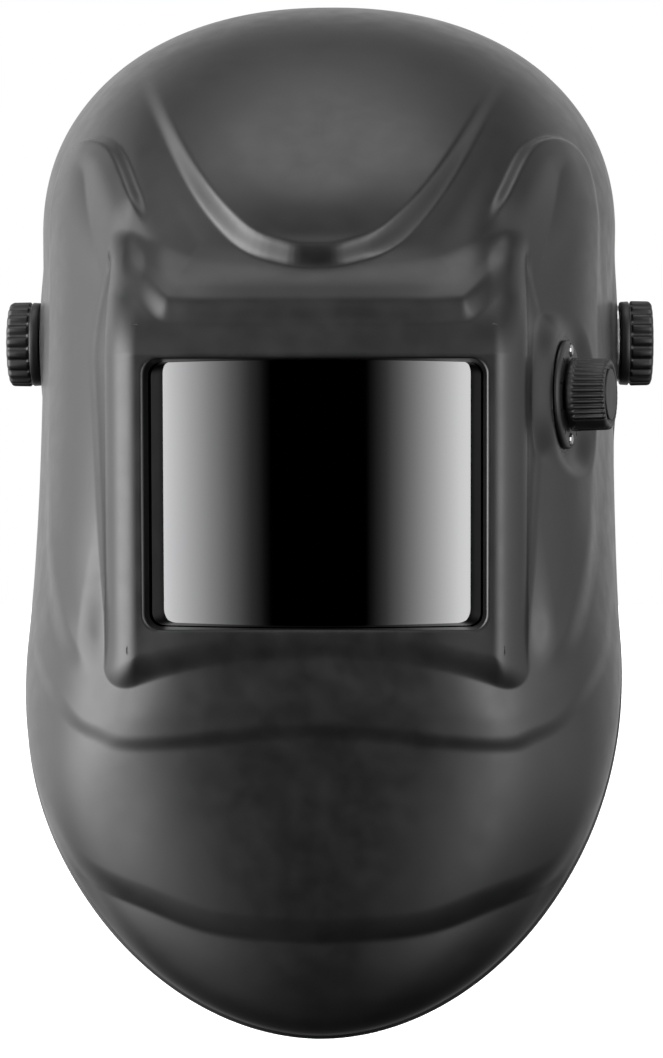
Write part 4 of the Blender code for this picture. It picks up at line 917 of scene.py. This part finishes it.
def make_ratchet_knob(finish):
    low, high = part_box("ratchet_knob")
    middle = (low + high) / 2 / MM
    start, stop = low.y / MM - middle.y, high.y / MM - middle.y
    matrix = along(middle, (0, 1, 0))
    sections = [(stop - 0.8, 0, 0), (stop - 0.8, 9.0, 0), (stop - 0.2, 9.8, 0), (stop, 10.6, 0),
                (stop, 16.6, 0.6), (stop - 0.3, 17.8, 1.1), (stop - 1.0, 18.8, 1.5), (stop - 2.4, 19.4, 1.8),
                (start + 3.0, 19.5, 1.8), (start + 1.2, 19.1, 1.5), (start + 0.3, 18.2, 1.0),
                (start, 17.0, 0.4), (start, 3.5, 0), (start + 5.9, 3.5, 0), (start + 5.9, 0, 0)]
    mesh = lofted("ratchet_grip", sections, 384, flutes(RATCHET_FLUTES, 1.4), matrix, 50.0)
    new_piece("ratchet_grip", mesh, "ratchet", finish, "knob_black", "ratchet_knob")


def knurl(angle):
    """Fine ribs, left out under a smooth pointer."""
    if abs(angle - KNURL_POINTER) < POINTER_HALF:
        return -0.6
    return (0.5 - 0.5 * math.cos(KNURL_RIBS * angle)) ** 1.3


def make_shade_control(finish):
    """The knurled knob, and the round plate with its screw holes and engraved strokes."""
    matrix = along(SHADE_POINT, shade_axis())
    sections = [(14.0, 0, 0), (14.0, 8.7, 0), (14.4, 9.2, 0), (14.8, 9.5, 0), (15.0, 9.9, 0),
                (15.0, 10.5, 0.2), (14.8, 10.95, 0.4), (14.4, 11.25, 0.6), (13.6, 11.35, 0.75),
                (5.2, 11.6, 0.8), (4.8, 11.65, 0.5), (4.4, 11.7, 0.0), (2.9, 11.7, 0.0), (2.5, 11.3, 0.0),
                (2.5, 8.0, 0), (6.2, 8.0, 0), (6.2, 3.4, 0), (13.4, 3.4, 0), (13.4, 0, 0)]
    mesh = lofted("shade_grip", sections, 456, knurl, matrix, 50.0)
    new_piece("shade_grip", mesh, "shade", finish, "knob_black", "shade_knob")
    rings = [(1.95, 16.2, 0), (1.6, 16.9, 0), (1.2, 17.3, 0), (0.7, 17.4, 0), (0.35, 17.3, 0),
             (0.35, 5.0, 0), (1.4, 5.0, 0), (1.75, 12.0, 0), (1.95, 12.4, 0), (2.0, 13.0, 0), (2.0, 15.9, 0)]
    plate = lofted("shade_dial", rings, 144, lambda angle: 0.0, matrix)
    changes = []
    for turn in (0, math.pi):
        place = matrix @ Matrix.Rotation(turn, 4, "Z") @ Matrix.Translation((SHADE_SCREW_REACH * MM, 0, 0))
        changes.append(("DIFFERENCE", solid_rod(1.2, -5, 5, place, 32)))
        changes.append(("DIFFERENCE", solid_rod(2.2, 1.2, 5, place, 40)))
    for step in range(DIAL_TICKS):
        turn = math.radians(DIAL_TICK_START + DIAL_TICK_STEP * step)
        clear_of_screws = abs(math.sin(turn)) >= 0.3
        if clear_of_screws:
            changes.append(("DIFFERENCE", tick(matrix @ Matrix.Rotation(turn, 4, "Z"))))
    plate = cut_mesh(plate, changes)
    new_piece("shade_dial", plate, "shell", finish, "knob_black", "shade_plate")


def tick(matrix):
    """A short engraved stroke on the dial plate."""
    bm = bmesh.new()
    bmesh.ops.create_cube(bm, size=1.0)
    bmesh.ops.scale(bm, vec=Vector((2.2, 0.7, 1.2)) * MM, verts=bm.verts)
    bmesh.ops.transform(bm, matrix=matrix @ Matrix.Translation(Vector((14.6, 0, 2.2)) * MM), verts=bm.verts)
    mesh = bpy.data.meshes.new("tick")
    bm.to_mesh(mesh)
    bm.free()
    return mesh


# ---------------------------------------------------------------- pads

def pad_mesh(name, half_x, half_y, centre_y, start, stop, low, high, thick, facing=-1, steps=40):
    """A bent slab between two elliptic walls. Angles in degrees from the facing side."""
    bm = bmesh.new()
    walls = []
    for inset in (0.0, thick):
        wall = []
        for step in range(steps + 1):
            angle = math.radians(start + (stop - start) * step / steps)
            x = (half_x + inset) * math.sin(angle)
            y = centre_y + facing * (half_y + inset) * math.cos(angle)
            wall.append([bm.verts.new(Vector((x, y, z)) * MM) for z in (low, high)])
        walls.append(wall)
    inner, outer = walls
    for a, b, c, d in zip(inner, inner[1:], outer, outer[1:]):
        bm.faces.new((a[0], b[0], b[1], a[1]))
        bm.faces.new((c[0], c[1], d[1], d[0]))
        bm.faces.new((a[1], b[1], d[1], c[1]))
        bm.faces.new((a[0], c[0], d[0], b[0]))
    for a, c in ((inner[0], outer[0]), (inner[-1], outer[-1])):
        bm.faces.new((a[0], a[1], c[1], c[0]))
    bmesh.ops.recalc_face_normals(bm, faces=bm.faces)
    mesh = bpy.data.meshes.new(name)
    bm.to_mesh(mesh)
    bm.free()
    return mesh


def inflate(mesh, voxel, cap):
    """Swell a closed slab like foam in a sewn cover: voxel remesh, cloth pressure, capped moves."""
    pad = bpy.data.objects.new("pad", mesh)
    bpy.context.scene.collection.objects.link(pad)
    remesh = pad.modifiers.new("voxels", "REMESH")
    remesh.mode = "VOXEL"
    remesh.voxel_size = voxel * MM
    cage = bpy.data.meshes.new_from_object(pad.evaluated_get(bpy.context.evaluated_depsgraph_get()))
    pad.modifiers.clear()
    pad.data = cage
    rest = np.array([vert.co for vert in cage.vertices])
    cloth = pad.modifiers.new("cloth", "CLOTH")
    cloth.settings.use_pressure = True
    cloth.settings.uniform_pressure_force = 4.0
    cloth.settings.effector_weights.gravity = 0.0
    cloth.settings.quality = 5
    scene = bpy.context.scene
    for step in range(1, 21):
        scene.frame_set(step)
    swollen = pad.evaluated_get(bpy.context.evaluated_depsgraph_get())
    moved = np.array([vert.co for vert in swollen.data.vertices])
    move = moved - rest
    size = np.linalg.norm(move, axis=1, keepdims=True)
    rest = rest + move * np.minimum(1.0, cap * MM / np.maximum(size, 1e-9))
    pad.modifiers.clear()
    scene.frame_set(1)
    cage.vertices.foreach_set("co", rest.astype(np.float32).ravel())
    cage.update()
    soften = pad.modifiers.new("soften", "SUBSURF")
    soften.levels = 1
    soften.render_levels = 1
    made = bpy.data.meshes.new_from_object(pad.evaluated_get(bpy.context.evaluated_depsgraph_get()))
    bpy.data.objects.remove(pad)
    made.shade_smooth()
    return made


def stitch(mesh, centre_y, facing, half_x, half_y, thick, channels, low, high):
    """Sewn channels and an edge seam: the cover is drawn in towards the pad's middle."""
    co = np.array([vert.co for vert in mesh.vertices]) / MM
    angle = np.arctan2(co[:, 0] / half_x, facing * (co[:, 1] - centre_y) / half_y)
    middle = np.stack([(half_x + thick / 2) * np.sin(angle),
                       centre_y + facing * (half_y + thick / 2) * np.cos(angle)], 1)
    pull = np.zeros(len(co))
    for channel in channels:
        arc = (angle - math.radians(channel)) * half_y
        pull = np.maximum(pull, 0.62 * np.exp(-(arc / 1.5) ** 2))
    edge = np.minimum(co[:, 2] - low, high - co[:, 2])
    pull = np.maximum(pull, 0.45 * np.exp(-((edge - 3.2) / 0.9) ** 2))
    co[:, :2] += (middle - co[:, :2]) * pull[:, None]
    mesh.vertices.foreach_set("co", (co * MM).astype(np.float32).ravel())
    mesh.update()


def make_pads(finish):
    """The brow pad inside the band, and the nape cushion on the ratchet's cover."""
    low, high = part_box("sweatband")
    low_z, high_z = low.z / MM + 0.6, high.z / MM - 0.6
    half_x, half_y = BAND_HALF
    mesh = pad_mesh("sweatband", half_x, half_y, HEAD_CENTRE_Y, -BROW_ANGLE, BROW_ANGLE, low_z, high_z,
                    BROW_THICK)
    mesh = inflate(mesh, 2.4, 0.7)
    stitch(mesh, HEAD_CENTRE_Y, -1, half_x, half_y, BROW_THICK, BROW_CHANNELS, low_z, high_z)
    pad = new_piece("brow_pad", mesh, "headgear", finish, "foam", "sweatband")
    low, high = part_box("nape_pad")
    low_z, high_z = low.z / MM + 0.8, high.z / MM - 0.8
    mesh = pad_mesh("nape", NAPE_RADIUS, NAPE_RADIUS, HEAD_CENTRE_Y, -NAPE_ANGLE, NAPE_ANGLE, low_z, high_z,
                    NAPE_THICK, facing=1)
    mesh = inflate(mesh, 2.6, 0.6)
    stitch(mesh, HEAD_CENTRE_Y, 1, NAPE_RADIUS, NAPE_RADIUS, NAPE_THICK, NAPE_CHANNELS, low_z, high_z)
    pad = new_piece("nape_cushion", mesh, "headgear", finish, "foam", "nape_pad")


# ---------------------------------------------------------------- carried-over CAD nodes

def finish_nodes(finishes):
    """Eased edges and a proper material on each CAD node that stays."""
    slots = {part["node"]: part["material_slot"] for part in frame["record"]["subparts"]}
    for name, node in frame["nodes"].items():
        if node.hide_render:
            continue
        node.data.materials.clear()
        node.data.materials.append(finishes[slots[name]])
        weld = node.modifiers.new("weld", "WELD")
        weld.merge_threshold = 0.00001
        bevel = node.modifiers.new("eased", "BEVEL")
        bevel.width = 0.00022
        bevel.segments = 2
        bevel.limit_method = "ANGLE"
        bevel.angle_limit = math.radians(50)
        bevel.use_clamp_overlap = True


def main():
    make_camera()
    make_world()
    make_floor()
    shell_plastic = plastic("satin_shell", (0.0055, 0.0055, 0.0057), 0.32, 0.010, 0.4, wear=0.5)
    knob_plastic = plastic("knob_plastic", (0.006, 0.006, 0.0063), 0.42, 0.016, 0.3)
    finishes = {
        "shell_black": shell_plastic,
        "headgear_black": plastic("headgear_plastic", (0.012, 0.012, 0.0125), 0.5, 0.02, 0.5),
        "knob_black": knob_plastic,
        "lens_mirror": mirror_lens("mirror_lens"),
        "lens_clear": glass("clear_polycarbonate", (0.9, 0.93, 0.92)),
        "filter_glass": glass("filter_glass", (0.01, 0.02, 0.016), 0.03, 0.0),
        "solar_blue": solar_film("solar_film"),
        "steel": metal("zinc_plated_steel", (0.58, 0.58, 0.59), 0.32),
        "brass": metal("turned_brass", (0.72, 0.55, 0.25), 0.3),
        "rubber": plastic("rubber", (0.012, 0.012, 0.012), 0.8, 0.03, 0.6),
        "foam": knitted("knitted_facing", (0.03, 0.03, 0.033)),
        "lead_black": plastic("lead_sheath", (0.01, 0.01, 0.01), 0.55, 0.01, 0.4),
    }
    make_shell(shell_plastic)
    make_lens(finishes["lens_mirror"])
    make_tension_knobs(knob_plastic)
    make_ratchet_knob(knob_plastic)
    make_shade_control(knob_plastic)
    make_pads(finishes["foam"])
    finish_nodes(finishes)


main()
